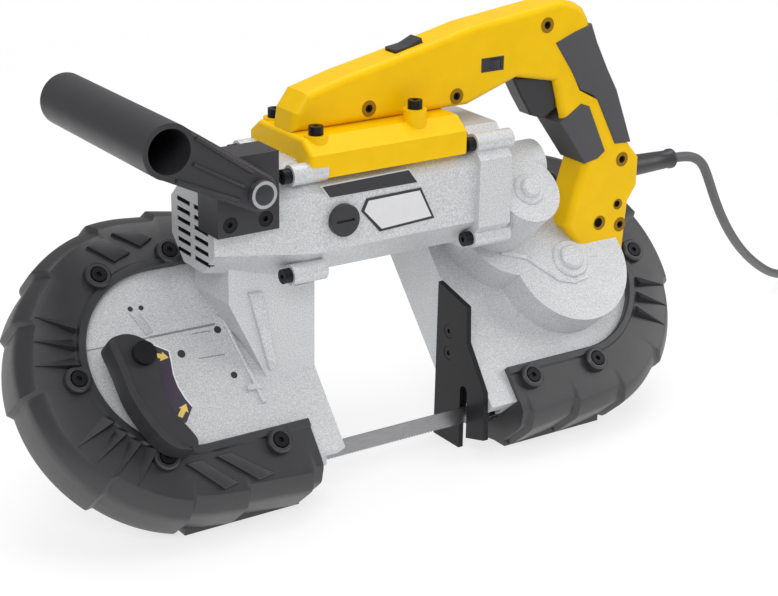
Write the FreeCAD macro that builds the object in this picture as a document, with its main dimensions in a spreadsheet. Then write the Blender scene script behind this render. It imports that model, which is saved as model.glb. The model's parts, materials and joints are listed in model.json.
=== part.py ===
import FreeCAD, Part
import math
import os
import re

from FreeCAD import Placement, Rotation, Vector

# Portable band saw. X runs along the blade with the idler end at -X, Y runs away from the user
# and Z is up. The origin is on the floor below the middle of the two wheel housings.
# The wheel housings lean back by the lean angle, so they have a frame of their own: x along the
# blade, v up the leaning plate and w out of the plate towards the user.

SIZES = {
    # Blade, wheels and tyres
    "blade_loop": 1140,
    "blade_width": 13,
    "blade_thickness": 0.65,
    "blade_gap": 0.3,
    "tooth_pitch": 2.4,
    "tooth_depth": 1.1,
    "wheel_diameter": 160,
    "wheel_plane": -9,
    "tyre_thickness": 3,
    "tyre_width": 16,
    "rim_thickness": 6,
    "web_thickness": 6,
    "hub_radius": 20,
    "hub_length": 28,
    # Wheel housings
    "lean": 41,
    "housing_height": 94,
    "pan_radius": 88,
    "pan_wall": 4,
    "plate_face": 24,
    "pan_depth": 50,
    "throat_half": 62,
    "throat_wall": 6,
    "run_slot_width": 22,
    "channel_wall": 3,
    # Bumpers
    "bumper_depth": 60,
    "bumper_radius": 105,
    "bumper_edge": 8,
    "bumper_slope": 12,
    "bumper_inner_radius": 63,
    "front_bumper_end": 84,
    "rear_bumper_end": 60,
    "heel_reach": 12,
    "heel_height": 7,
    "heel_length": 92,
    "tread_count": 11,
    "tread_width": 7,
    "tread_depth": 4,
    # Motor and gears
    "motor_y": -18,
    "motor_z": 199,
    "motor_width": 80,
    "motor_corner": 20,
    "motor_front": -78,
    "motor_rear": 55,
    "motor_bore": 35,
    "flange_width": 88,
    "flange_length": 18,
    "cap_length": 66,
    "cap_end_width": 58,
    "cap_wall": 4,
    "slot_count": 6,
    "slot_width": 3.2,
    "slot_pitch": 7,
    "armature_shaft_radius": 5,
    "rotor_radius": 21,
    "rotor_length": 60,
    "stator_inner_radius": 21.6,
    "commutator_radius": 12,
    "commutator_length": 16,
    "commutator_x": -54,
    "fan_radius": 32,
    "fan_length": 9,
    "fan_x": 36,
    "worm_module": 0.625,
    "worm_radius": 8,
    "worm_turns": 10,
    "worm_wheel_teeth": 60,
    "worm_wheel_width": 10,
    "gear_module": 1.5,
    "pinion_teeth": 33,
    "final_teeth": 55,
    "gear_width": 10,
    "gear_backlash": 0.25,
    "gear_level": 34,
    "gear_room": 2,
    "gearcase_wall": 4,
    "disc_radius": 43.5,
    "wheel_shaft_radius": 8,
    "pinion_shaft_radius": 6,
    "bearing_ring": 6,
    "bearing_width": 9,
    "running_gap": 0.05,
    "side_gap": 0.4,
    # Handle
    "handle_width": 28,
    "handle_wall": 3,
    "base_height": 15,
    "base_width": 72,
    "grip_proud": 1.2,
    "edge_round": 3,
    "shell_round": 5,
    "trigger_width": 17,
    "trigger_travel": 6,
    "rocker_width": 13,
    "rocker_length": 22,
    "dial_radius": 9,
    "dial_width": 6,
    # Front handle
    "tube_radius": 18,
    "tube_wall": 3.5,
    "tube_length": 148,
    "arm_thickness": 14,
    "pivot_radius": 5,
    # Tension lever
    "lever_thickness": 13,
    "lever_lift": 10.5,
    "lever_round": 2.5,
    "axle_radius": 8,
    # Work stop and guides
    "stop_thickness": 4,
    "roller_radius": 6,
    "roller_pin_radius": 2.5,
    "roller_length": 11,
    "guide_height": 14,
    # Fasteners
    "screw_head_radius": 5,
    "screw_head_height": 3.4,
    "cap_head_height": 6,
    "screw_radius": 3,
    "socket_across": 4,
    # Cord
    "cord_diameter": 7.6,
    "coil_radius": 44,
    "relief_length": 44,
}

doc = FreeCAD.newDocument("PortableBandSaw")
sheet = doc.addObject("Spreadsheet::Sheet", "Dims")
for row, (alias, value) in enumerate(SIZES.items(), 1):
    sheet.set(f"A{row}", alias)
    sheet.set(f"B{row}", str(value))
    sheet.setAlias(f"B{row}", alias)
doc.recompute()

ALIAS = re.compile(r"\b(" + "|".join(SIZES) + r")\b")
NODES = {}


class Sizes:
    """The sheet's cells as numbers."""

    def __getattr__(self, name):
        return float(sheet.get(name))


d = Sizes()


def bind(obj, **sizes):
    """Bind properties to the sheet: an expression in cell names, or a worked-out number."""
    for prop, size in sizes.items():
        if isinstance(size, str):
            obj.setExpression(prop, ALIAS.sub(r"Dims.\g<0>", size))
        else:
            setattr(obj, prop, size)


def node(label, obj):
    obj.Label = label
    NODES[label] = obj
    return obj


def cylinder(name, radius, height, base, axis=(0, 0, 1), frame=Placement()):
    obj = doc.addObject("Part::Cylinder", name)
    bind(obj, Radius=radius, Height=height)
    obj.Placement = frame.multiply(Placement(Vector(*base), Rotation(Vector(0, 0, 1), Vector(*axis))))
    return obj


def box(name, low, high, frame=Placement()):
    obj = doc.addObject("Part::Box", name)
    bind(obj, Length=high[0] - low[0], Width=high[1] - low[1], Height=high[2] - low[2])
    obj.Placement = frame.multiply(Placement(Vector(*low), Rotation()))
    return obj


def fuse(name, *parts):
    obj = doc.addObject("Part::MultiFuse", name)
    obj.Shapes = list(parts)
    return obj


def cut(name, base, *tools):
    obj = doc.addObject("Part::Cut", name)
    obj.Base = base
    obj.Tool = tools[0] if len(tools) == 1 else fuse(name + "Tools", *tools)
    return obj


def group(name, *parts):
    obj = doc.addObject("Part::Compound", name)
    obj.Links = list(parts)
    return obj


def computed(name, shape, frame=Placement()):
    obj = doc.addObject("Part::Feature", name)
    obj.Shape = shape
    obj.Placement = frame
    return obj


def edges(outline):
    """Lines and arcs of a closed outline: a point (x, y), or an arc's end and middle point."""
    start = Vector(*outline[-1][:2])
    for point in outline:
        end = Vector(*point[:2])
        if len(point) == 4:
            yield Part.Arc(start, Vector(*point[2:]), end)
        else:
            yield Part.LineSegment(start, end)
        start = end


def sketch_in(body, plane, outline):
    sketch = body.newObject("Sketcher::SketchObject", body.Name + "Sketch")
    support = next(f for f in body.Origin.OriginFeatures if f.Role == plane)
    sketch.AttachmentSupport = [(support, "")]
    sketch.MapMode = "FlatFace"
    sketch.addGeometry(list(edges(outline)), False)
    return sketch


def pad(name, outline, length, frame=Placement(), level=0, top_round=0, bottom_round=0):
    """A sketch on the frame's XY plane, padded upwards from the given level, with rounded rims."""
    body = doc.addObject("PartDesign::Body", name)
    sketch = sketch_in(body, "XY_Plane", outline)
    feature = body.newObject("PartDesign::Pad", name + "Pad")
    feature.Profile = sketch
    bind(feature, Length=length)
    for rim, radius in (("Top", top_round), ("Bottom", bottom_round)):
        if radius:
            doc.recompute()
            below = body.Tip
            shape = below.Shape
            edge_z = shape.BoundBox.ZMax if rim == "Top" else shape.BoundBox.ZMin
            faces = [f"Face{i}" for i, face in enumerate(shape.Faces, 1)
                     if face.BoundBox.ZLength < 0.001 and abs(face.CenterOfMass.z - edge_z) < 0.001]
            rounding = body.newObject("PartDesign::Fillet", name + rim)
            rounding.Base = (below, faces)
            bind(rounding, Radius=radius)
            body.Tip = rounding
    body.Placement = frame.multiply(Placement(Vector(0, 0, level), Rotation()))
    return body


def turned(name, profile, frame):
    """A profile of (radius, height) points turned about the frame's Z axis."""
    body = doc.addObject("PartDesign::Body", name)
    sketch = sketch_in(body, "XZ_Plane", profile)
    feature = body.newObject("PartDesign::Revolution", name + "Turn")
    feature.Profile = sketch
    feature.ReferenceAxis = (sketch, ["V_Axis"])
    feature.Angle = 360
    body.Placement = frame
    return body


def screw(name, head_radius, head_height, length, frame):
    """A socket screw: its head stands on the frame's XY plane and its shank goes down."""
    head = cylinder(name + "Head", head_radius, head_height, (0, 0, 0), frame=frame)
    shank = cylinder(name + "Shank", "screw_radius", length, (0, 0, 0), (0, 0, -1), frame)
    socket = doc.addObject("Part::Prism", name + "Socket")
    socket.Polygon = 6
    bind(socket, Circumradius="socket_across / 2", Height=head_height)
    socket.Placement = frame.multiply(Placement(Vector(0, 0, 1.4), Rotation()))
    return cut(name, fuse(name + "Blank", head, shank), socket)


def shank_tool(name, length, frame):
    return cylinder(name, "screw_radius", length, (0, 0, 0), (0, 0, -1), frame)


# Frames
TILT = Placement(Vector(0, 0, d.housing_height), Rotation(Vector(1, 0, 0), 90 - d.lean))
SIDE = Placement(Vector(0, 0, 0), Rotation(Vector(1, 0, 0), 90))
AXIAL = Placement(Vector(0, 0, 0), Rotation(Vector(1, 1, 1), 120))


def at(frame, x, y, z, axis=(0, 0, 1)):
    return frame.multiply(Placement(Vector(x, y, z), Rotation(Vector(0, 0, 1), Vector(*axis))))


def leaning(y, z):
    """The (v, w) of a world (y, z)."""
    local = TILT.inverse().multVec(Vector(0, y, z))
    return local.y, local.z


# Worked-out places
blade_radius = d.wheel_diameter / 2 + d.blade_gap + d.blade_thickness / 2
half_span = (d.blade_loop - 2 * math.pi * blade_radius) / 4
pan_inner = d.pan_radius - d.pan_wall
pan_back = d.plate_face - d.pan_depth
bumper_low = -d.bumper_depth / 2
bumper_face = d.bumper_depth / 2
plate_back = d.plate_face - d.pan_wall
motor_v, motor_w = leaning(d.motor_y, d.motor_z)
worm_wheel_radius = d.worm_module * d.worm_wheel_teeth / 2
pinion_v = motor_v - d.worm_radius - worm_wheel_radius
gear_distance = d.gear_module * (d.pinion_teeth + d.final_teeth) / 2
pinion_x = half_span - math.sqrt(gear_distance ** 2 - pinion_v ** 2)
blade_run = TILT.multVec(Vector(0, -blade_radius, d.wheel_plane))
motor_top = d.motor_z + d.motor_width / 2
motor_end = d.motor_rear + d.flange_length
cap_front = d.motor_front - d.cap_length


def housing_outline(side, radius, end, low=None, high=None):
    """A half round about the wheel, with straight edges on to the throat end."""
    low = -radius if low is None else low
    high = radius if high is None else high
    centre = side * half_span
    return [
        (side * end, low),
        (centre, low),
        (centre, high, centre + side * (high - low) / 2, (high + low) / 2),
        (side * end, high),
    ]


def octagon(width, corner):
    half = width / 2
    return [
        (half, corner - half), (half, half - corner), (half - corner, half), (corner - half, half),
        (-half, half - corner), (-half, corner - half), (corner - half, -half), (half - corner, -half),
    ]


def loft(name, first, first_level, second, second_level, frame):
    """A straight-sided solid between two like outlines at two levels."""
    wires = []
    for outline, level in ((first, first_level), (second, second_level)):
        wire = Part.Wire([edge.toShape() for edge in edges(outline)])
        wire.translate(Vector(0, 0, level))
        wires.append(wire)
    return computed(name, Part.makeLoft(wires, True, True), frame)


# Wheel housings
MOTOR = AXIAL.multiply(Placement(Vector(d.motor_y, d.motor_z, 0), Rotation()))
bearing_outer = {r: d.running_gap + d.bearing_ring + r
                 for r in (d.wheel_shaft_radius, d.pinion_shaft_radius, d.armature_shaft_radius)}
wheel_bearing_outer = bearing_outer[d.wheel_shaft_radius]
pinion_bearing_outer = bearing_outer[d.pinion_shaft_radius]
motor_bearing_outer = bearing_outer[d.armature_shaft_radius]
wheel_bearing_low = d.plate_face - 2 * d.bearing_width
blade_top = blade_run.z + d.blade_width / 2
guide_low = blade_top + 1.5
guide_top = guide_low + d.guide_height
guide_length = 2 * (d.roller_radius + 1.5)
upright_half = d.throat_half + guide_length + 1
slanted_from = half_span - 14
BUMPER_SCREW_CIRCLE = 74
front_screw_spots = [(-half_span + BUMPER_SCREW_CIRCLE * math.cos(math.radians(a)),
                      BUMPER_SCREW_CIRCLE * math.sin(math.radians(a))) for a in (76, 120, 182, 243)]
front_screw_spots.append((-111, -BUMPER_SCREW_CIRCLE))
rear_screw_spots = [(half_span + BUMPER_SCREW_CIRCLE * math.cos(math.radians(a)),
                     BUMPER_SCREW_CIRCLE * math.sin(math.radians(a))) for a in (70, 1, 271)]
rear_screw_spots.append((100, -BUMPER_SCREW_CIRCLE))
BUMPER_SCREW_LENGTH = bumper_face - plate_back + 2
bumper_screw_frames = [at(TILT, x, v, bumper_face) for x, v in front_screw_spots + rear_screw_spots]


def bumper_shanks(name):
    return fuse(name, *[shank_tool(f"{name}{i}", BUMPER_SCREW_LENGTH, frame)
                        for i, frame in enumerate(bumper_screw_frames)])


def pan(name, side):
    """The cast housing of one wheel, open on its far side, with slots for the two blade runs."""
    outer = pad(name + "Outer", housing_outline(side, d.pan_radius, d.throat_half), "pan_depth", TILT,
                pan_back)
    inner = pad(name + "Inner", housing_outline(side, pan_inner, d.throat_half + d.throat_wall),
                "pan_depth - pan_wall", TILT, pan_back)
    ends = sorted((side * (d.throat_half - 1), side * (d.throat_half + d.throat_wall + 1)))
    half_slot = d.run_slot_width / 2
    slot = box(name + "Slot", (ends[0], blade_radius - half_slot, d.wheel_plane - half_slot),
               (ends[1], blade_radius + half_slot, d.wheel_plane + half_slot), TILT)
    guide_ends = sorted((side * (d.throat_half - 1), side * (d.throat_half + guide_length + 1)))
    guide_room = box(name + "GuideRoom", (guide_ends[0], blade_run.y - 21, -10),
                     (guide_ends[1], blade_run.y + 21, guide_top))
    run_ends = sorted((side * d.throat_half, side * (d.throat_half + 56)))
    run_room = box(name + "RunRoom", (run_ends[0], blade_run.y - 12, -10),
                   (run_ends[1], blade_run.y + 9, blade_top + 2))
    return cut(name + "Pan", outer, inner, slot, guide_room, run_room, bumper_shanks(name + "Holes"))


# Vented end cap of the motor, tapering to the front
cap_outer = loft("CapOuter", octagon(d.cap_end_width, d.motor_corner * 0.8), cap_front,
                 octagon(d.motor_width, d.motor_corner), d.motor_front, MOTOR)
cap_web = d.motor_front - 8
cap_web_front = cap_web - d.bearing_width - 3
cap_rear_room = cylinder("CapRearRoom", "motor_bore - 3", 8, (0, 0, cap_web), frame=MOTOR)
cap_front_room = loft("CapFrontRoom", octagon(d.cap_end_width - 2 * d.cap_wall, d.motor_corner * 0.7),
                      cap_front + d.cap_wall,
                      octagon(d.motor_width - 5 * d.cap_wall, d.motor_corner * 0.7), cap_web_front, MOTOR)
cap_seat = cylinder("CapSeat", motor_bearing_outer, "bearing_width", (0, 0, cap_web - d.bearing_width),
                    frame=MOTOR)
slot_front, slot_back = cap_front - 1, cap_front + d.cap_wall + 1
cap_slots = []
for i in range(int(d.slot_count)):
    level = d.motor_z - d.cap_end_width / 2 + 6 + i * d.slot_pitch
    for label, start, end in (("Near", -21, -2), ("Far", 3, 21)):
        cap_slots.append(box(f"CapSlot{label}{i}", (slot_front, d.motor_y + start, level),
                             (slot_back, d.motor_y + end, level + d.slot_width)))


# Ears for the long motor screws, at the four corners of each end
EAR_RADIUS = 7
EAR_LENGTH = 13
ear_spots = [(a * (d.motor_width / 2 - 6), b * (d.motor_width / 2 - 6)) for a in (-1, 1) for b in (-1, 1)]


def ears(name, x, length=EAR_LENGTH):
    return [cylinder(f"{name}{i}", EAR_RADIUS, length, (y, z, x), frame=MOTOR) for i,
            (y, z) in enumerate(ear_spots)]


motor_screw_frames = []
for seat in (d.motor_front - EAR_LENGTH, d.motor_rear):
    motor_screw_frames += [at(MOTOR, y, z, seat, (0, 0, -1)) for y, z in ear_spots]
MOTOR_SCREW_LENGTH = 2 * EAR_LENGTH - 3


def motor_shanks(name):
    return fuse(name, *[shank_tool(f"{name}{i}", MOTOR_SCREW_LENGTH, frame)
                        for i, frame in enumerate(motor_screw_frames)])


# Front frame: housing, pillar up to the motor's end cap, lever boss and slide rails
pillar_outline = [(-d.throat_half, 65), (-d.throat_half, d.motor_z), (-128, d.motor_z), (-128, 146),
                  (-88, 65)]
PILLAR_WIDTH = 46
pillar_block = pad("PillarBlock", pillar_outline, PILLAR_WIDTH, SIDE, -d.motor_y - PILLAR_WIDTH / 2 - 5)
behind_plate = box("BehindPlate", (-300, -300, -200), (0, 300, plate_back + 1), TILT)
pillar = cut("Pillar", pillar_block, behind_plate, cap_outer,
             *ears("PillarEar", d.motor_front - EAR_LENGTH),
             box("PillarTop", (d.motor_front, -100, 150), (0, 100, 300)))
lever_x, lever_v = -half_span - 32.6, 0
lever_low = d.plate_face + d.lever_lift
lever_boss = cylinder("LeverBoss", 10, d.lever_lift - d.side_gap + 1,
                      (lever_x, lever_v, d.plate_face - 1), frame=TILT)
LEVER_SCREW_RADIUS = 4
lever_hole = cylinder("LeverHole", LEVER_SCREW_RADIUS, 60, (lever_x, lever_v, plate_back - 1), frame=TILT)
slide_half = 16
slide_low, slide_high = plate_back - 9, plate_back - d.side_gap
rails = [box(f"Rail{i}", (-half_span - 50, v, slide_low - 1), (-half_span + 60, v + 6, plate_back + 1),
             TILT)
         for i, v in enumerate((slide_half + d.side_gap, -slide_half - d.side_gap - 6))]
channel_v, channel_w = blade_radius, d.wheel_plane
front_blank = fuse("FrontBlank", pan("Front", -1), pillar, lever_boss, *rails)
node("front_frame", cut("FrontFrame", front_blank, lever_hole))

# Rear frame: housing with the wheel shaft's bearing boss and the pinion shaft's bearing boss
shaft_boss = cylinder("ShaftBoss", wheel_bearing_outer + 5, d.plate_face - wheel_bearing_low,
                      (half_span, 0, wheel_bearing_low), frame=TILT)
pinion_boss = cylinder("PinionBoss", pinion_bearing_outer + 3, "bearing_width + 1",
                       (pinion_x, pinion_v, d.plate_face - 1), frame=TILT)
shaft_bore = cylinder("ShaftBore", wheel_bearing_outer, d.plate_face - wheel_bearing_low,
                      (half_span, 0, wheel_bearing_low), frame=TILT)
pinion_bore = cylinder("PinionBore", pinion_bearing_outer, "bearing_width",
                       (pinion_x, pinion_v, d.plate_face), frame=TILT)
STOP_SCREW_SPOTS = ((-26, 86), (-26, 69))
stop_face = d.throat_half - d.stop_thickness
STOP_HEAD_HEIGHT = 2.4
stop_seat = stop_face + STOP_HEAD_HEIGHT + 0.2
STOP_SCREW_LENGTH = d.throat_half + d.throat_wall - 1 - stop_seat
stop_screw_frames = [at(Placement(), stop_seat, y, z, (-1, 0, 0)) for y, z in STOP_SCREW_SPOTS]


def stop_shanks(name):
    return fuse(name, *[shank_tool(f"{name}{i}", STOP_SCREW_LENGTH, frame)
                        for i, frame in enumerate(stop_screw_frames)])


rear_blank = fuse("RearBlank", pan("Rear", 1), shaft_boss, pinion_boss)
node("rear_frame", cut("RearFrame", rear_blank, shaft_bore, pinion_bore, stop_shanks("RearStopHoles")))

# Guard channel over the upper blade run, between the two housings
half_slot = d.run_slot_width / 2
half_channel = half_slot + d.channel_wall
channel_box = box("ChannelBox", (-d.throat_half, channel_v - half_channel, channel_w - half_channel),
                  (d.throat_half, channel_v + half_channel, channel_w + half_channel), TILT)
channel_room = box("ChannelRoom", (-d.throat_half - 1, channel_v - half_slot, channel_w - half_slot),
                   (d.throat_half + 1, channel_v + half_slot, channel_w + half_slot), TILT)
node("blade_channel", cut("BladeChannel", channel_box, channel_room))

# Motor housing with its rear flange
motor_body = pad("MotorBody", octagon(d.motor_width, d.motor_corner), "motor_rear - motor_front", MOTOR,
                 d.motor_front)
motor_flange = pad("MotorFlange", octagon(d.flange_width, d.motor_corner), "flange_length", MOTOR,
                   d.motor_rear)
motor_room = cylinder("MotorRoom", "motor_bore", "motor_rear - motor_front - 3", (0, 0, d.motor_front),
                      frame=MOTOR)
rear_bearing_x = d.motor_rear + 4
motor_seat = cylinder("MotorSeat", motor_bearing_outer, d.flange_length - 4, (0, 0, rear_bearing_x),
                      frame=MOTOR)
motor_hole = cylinder("MotorHole", "armature_shaft_radius + 2", 60, (0, 0, d.motor_rear - 10),
                      frame=MOTOR)
BRUSH_CAP_RADIUS = 11
BRUSH_TUBE_RADIUS = 6
near_brush = Placement(Vector(d.commutator_x, d.motor_y, d.motor_z), Rotation(Vector(1, 0, 0), 90))
far_brush = Placement(Vector(d.commutator_x, d.motor_y, d.motor_z), Rotation(Vector(1, 0, 0), -90))
brush_frames = (near_brush, far_brush)
brush_bores = [cylinder(f"BrushBore{i}", BRUSH_TUBE_RADIUS, 60, (0, 0, 0), frame=frame)
               for i, frame in enumerate(brush_frames)]
BASE_SCREW_LENGTH = 28
base_screw_frames = [at(Placement(), x, d.motor_y + side * 26, motor_top + lift) for side in (-1, 1)
                     for x, lift in ((-66, 16), (12, 23))]


def base_shanks(name):
    return fuse(name, *[shank_tool(f"{name}{i}", BASE_SCREW_LENGTH, frame)
                        for i, frame in enumerate(base_screw_frames)])


motor_blank = fuse("MotorBlank", motor_body, motor_flange, *ears("MotorFrontEar", d.motor_front),
                   *ears("MotorRearEar", d.motor_rear, d.flange_length))
node("motor_housing", cut("MotorHousing", motor_blank, motor_room, motor_seat, motor_hole, *brush_bores,
                                          motor_shanks("MotorScrewHoles"), base_shanks("MotorBaseHoles")))
bracket_face = d.motor_y - d.motor_width / 2 + 0.4
BRACKET_SCREW_LENGTH = 18
bracket_screw_frames = [at(Placement(), x, bracket_face + 3.8, d.motor_z + 10, (0, -1, 0))
                        for x in (-138, -112)]


def bracket_shanks(name):
    return fuse(name, *[shank_tool(f"{name}{i}", BRACKET_SCREW_LENGTH, frame)
                        for i, frame in enumerate(bracket_screw_frames)])


cap_blank = fuse("CapBlank", cap_outer, *ears("CapEar", d.motor_front - EAR_LENGTH))
end_cap = cut("EndCap", cap_blank, motor_shanks("CapScrewHoles"), bracket_shanks("CapBracketHoles"),
              cap_rear_room, cap_front_room, cap_seat, *cap_slots,
              cylinder("CapHole", "armature_shaft_radius + 2", 40, (0, 0, cap_web - 20), frame=MOTOR))
node("vented_end_cap", end_cap)

# Brush gear
holder_inner = d.commutator_radius + 5
node("brush_holders", group("BrushHolders", *[
    cut(f"BrushHolder{i}", cylinder(f"HolderTube{i}", BRUSH_TUBE_RADIUS, d.motor_width / 2 - holder_inner,
                                    (0, 0, holder_inner), frame=frame),
        box(f"HolderBore{i}", (-3, -3, 0), (3, 3, 60), frame)) for i, frame in enumerate(brush_frames)]))
node("carbon_brushes", group("CarbonBrushes", *[
    box(f"Brush{i}", (-3, -3, d.commutator_radius + d.side_gap), (3, 3, d.motor_width / 2), frame)
    for i, frame in enumerate(brush_frames)]))
node("brush_caps", group("BrushCaps", *[
    cut(f"BrushCap{i}", cylinder(f"CapDisc{i}", BRUSH_CAP_RADIUS, 4, (0, 0, d.motor_width / 2),
                                 frame=frame),
        box(f"CapSlit{i}", (-7, -1, d.motor_width / 2 + 2.5), (7, 1, d.motor_width / 2 + 5), frame))
    for i, frame in enumerate(brush_frames)]))

# Stator and armature
stator = cut("Stator", cylinder("StatorTube", "motor_bore", "rotor_length + 6", (0, 0, -33), frame=MOTOR),
             cylinder("StatorBore", "stator_inner_radius", "rotor_length + 10", (0, 0, -35), frame=MOTOR))
node("stator", stator)
shaft_length = pinion_x + 24 - cap_web + d.bearing_width
shaft_start = cap_web - d.bearing_width
worm_start = pinion_x - (d.worm_turns + 1) * math.pi * d.worm_module / 2


def worm_thread():
    """The motor shaft with a single-start thread, a gap of which faces the worm wheel."""
    pitch = math.pi * d.worm_module
    height = d.worm_turns * pitch
    root, tip = d.worm_radius - 1.2 * d.worm_module, d.worm_radius + d.worm_module
    helix = Part.makeLongHelix(pitch, height, d.worm_radius)
    half = (pitch / 2 - d.gear_backlash) / 2
    flank = math.tan(math.radians(20)) * d.worm_module
    sunk = root - 0.4
    profile = Part.makePolygon([Vector(sunk, 0, -half - flank), Vector(tip, 0, -half + flank),
                                Vector(tip, 0, half - flank), Vector(sunk, 0, half + flank),
                                Vector(sunk, 0, -half - flank)])
    thread = Part.Wire(helix.Edges).makePipeShell([profile], True, True)
    core = Part.makeCylinder(root, height + pitch, Vector(0, 0, -pitch / 2))
    rod = Part.makeCylinder(d.armature_shaft_radius, shaft_length, Vector(0, 0, shaft_start - worm_start))
    return core.fuse(thread).fuse(rod)


WORM = TILT.multiply(Placement(Vector(worm_start, motor_v, motor_w),
                               Rotation(Vector(0, -1, 0), Vector(0, 0, -1), Vector(1, 0, 0), "ZXY")))
node("motor_shaft", computed("MotorShaft", worm_thread(), WORM))


def sleeve(name, radius, length, x, bore="armature_shaft_radius"):
    outer = cylinder(name + "Outer", radius, length, (0, 0, x), frame=MOTOR)
    return cut(name, outer, cylinder(name + "Bore", bore, 200, (0, 0, x - 50), frame=MOTOR))


node("rotor_core", sleeve("RotorCore", "rotor_radius", "rotor_length", -30))
node("commutator", sleeve("Commutator", "commutator_radius", "commutator_length",
                          d.commutator_x - d.commutator_length / 2))
fan_gaps = []
for i in range(12):
    spoke = MOTOR.multiply(Placement(Vector(0, 0, d.fan_x), Rotation(Vector(0, 0, 1), 30 * i)))
    fan_gaps.append(box(f"FanGap{i}", (14, -3, 2.5), (60, 3, 20), spoke))
node("cooling_fan", cut("CoolingFan", sleeve("FanDisc", "fan_radius", "fan_length", d.fan_x), *fan_gaps))


# Gears
def gear_outline(teeth, module):
    """Involute teeth with backlash; the first tooth is centred on +X."""
    pitch_radius = teeth * module / 2
    pressure = math.radians(20)
    base_radius = pitch_radius * math.cos(pressure)
    half_angle = math.pi / (2 * teeth) - d.gear_backlash / (2 * pitch_radius)
    involute = math.tan(pressure) - pressure
    root, tip = pitch_radius - 1.25 * module, pitch_radius + 0.9 * module
    flank = []
    for radius in (root, max(root, base_radius) + 0.05, pitch_radius, tip):
        roll = math.acos(min(1, base_radius / radius))
        flank.append((radius, half_angle + involute - (math.tan(roll) - roll)))
    points = []
    for tooth in range(int(teeth)):
        middle = 2 * math.pi * tooth / teeth
        for radius, angle in flank:
            points.append((radius, middle - angle))
        for radius, angle in reversed(flank):
            points.append((radius, middle + angle))
    return [Vector(r * math.cos(a), r * math.sin(a), 0) for r, a in points]


def gear(name, teeth, module, width, bore, x, v, w, phase, twist=0):
    """A gear on the leaning frame, with straight or slightly twisted teeth and a shaft hole."""
    points = gear_outline(teeth, module)
    wires = []
    for level, turn in ((0, -twist / 2), (width, twist / 2)):
        wire = Part.makePolygon(points + points[:1])
        wire.rotate(Vector(), Vector(0, 0, 1), phase + turn)
        wire.translate(Vector(0, 0, level))
        wires.append(wire)
    blank = computed(name + "Blank", Part.makeLoft(wires, True, True), at(TILT, x, v, w))
    return cut(name, blank, cylinder(name + "Bore", bore, width + 2, (x, v, w - 1), frame=TILT))


mesh_angle = math.degrees(math.atan2(pinion_v, pinion_x - half_span))
node("final_gear", gear("FinalGear", d.final_teeth, d.gear_module, d.gear_width, "wheel_shaft_radius",
                        half_span, 0, d.gear_level, mesh_angle))
pinion = gear("Pinion", d.pinion_teeth, d.gear_module, d.gear_width, "pinion_shaft_radius",
              pinion_x, pinion_v, d.gear_level, mesh_angle + 180 + 180 / d.pinion_teeth)
lead_angle = math.atan(math.pi * d.worm_module / (2 * math.pi * d.worm_radius))
worm_wheel_twist = math.degrees(d.worm_wheel_width * math.tan(lead_angle) / worm_wheel_radius)
node("worm_wheel", gear("WormWheel", d.worm_wheel_teeth, d.worm_module, d.worm_wheel_width,
                        "pinion_shaft_radius",
                        pinion_x, pinion_v, motor_w - d.worm_wheel_width / 2, 90, worm_wheel_twist))
upper_bearing_w = motor_w + d.worm_wheel_width / 2 + d.gear_room
pinion_shaft_top = upper_bearing_w + d.bearing_width
pinion_rod = cylinder("PinionRod", "pinion_shaft_radius", pinion_shaft_top - d.plate_face,
                      (pinion_x, pinion_v, d.plate_face), frame=TILT)
node("pinion_shaft", fuse("PinionShaft", pinion_rod, pinion))

# Gearcase: a casting on the rear frame that holds the gears and carries the motor
final_room = d.gear_module * (d.final_teeth / 2 + 1) + d.gear_room
worm_room = d.worm_module * (d.worm_wheel_teeth / 2 + 1) + d.gear_room
pinion_room = d.gear_module * (d.pinion_teeth / 2 + 1) + d.gear_room
wall = d.gearcase_wall
gear_top = d.gear_level + d.gear_width + d.gear_room
neck_end = pinion_x + 24 + wall
DISC_SPOT = (121, 38)
neck_room = d.worm_radius + d.worm_module + d.gear_room
gearcase_solids = [
    cylinder("CaseFinal", final_room + wall, gear_top + wall - d.plate_face, (half_span, 0, d.plate_face),
             frame=TILT),
    cylinder("CaseDisc", "disc_radius", gear_top + wall - d.plate_face, (*DISC_SPOT, d.plate_face),
             frame=TILT),
    cylinder("CasePinion", pinion_room + wall, gear_top + wall - d.plate_face,
             (pinion_x, pinion_v, d.plate_face), frame=TILT),
    cylinder("CaseWorm", worm_room + wall, pinion_shaft_top + wall - d.plate_face,
             (pinion_x, pinion_v, d.plate_face), frame=TILT),
    cylinder("CaseNeck", neck_room + wall + 3, neck_end - motor_end, (0, 0, motor_end), frame=MOTOR),
    pad("CaseFlange", octagon(d.flange_width, d.motor_corner), 9, MOTOR, motor_end),
    *ears("CaseEar", motor_end),
]
gearcase_rooms = [
    cylinder("FinalRoom", final_room, gear_top - d.plate_face + 1, (half_span, 0, d.plate_face - 1),
             frame=TILT),
    cylinder("DiscRoom", d.disc_radius - wall, gear_top - d.plate_face + 1, (*DISC_SPOT, d.plate_face - 1),
             frame=TILT),
    cylinder("PinionRoom", pinion_room, gear_top - d.plate_face + 1,
             (pinion_x, pinion_v, d.plate_face - 1), frame=TILT),
    cylinder("WormRoom", worm_room, upper_bearing_w - d.plate_face + 1,
             (pinion_x, pinion_v, d.plate_face - 1), frame=TILT),
    cylinder("UpperSeat", pinion_bearing_outer, "bearing_width", (pinion_x, pinion_v, upper_bearing_w),
             frame=TILT),
    cylinder("NeckRoom", neck_room, pinion_x + 14 - motor_end + 1, (0, 0, motor_end - 1), frame=MOTOR),
    cylinder("NeckSeat", motor_bearing_outer, 11, (0, 0, pinion_x + 13), frame=MOTOR),
]
gearcase_outer = fuse("GearcaseOuter", *gearcase_solids)
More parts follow.
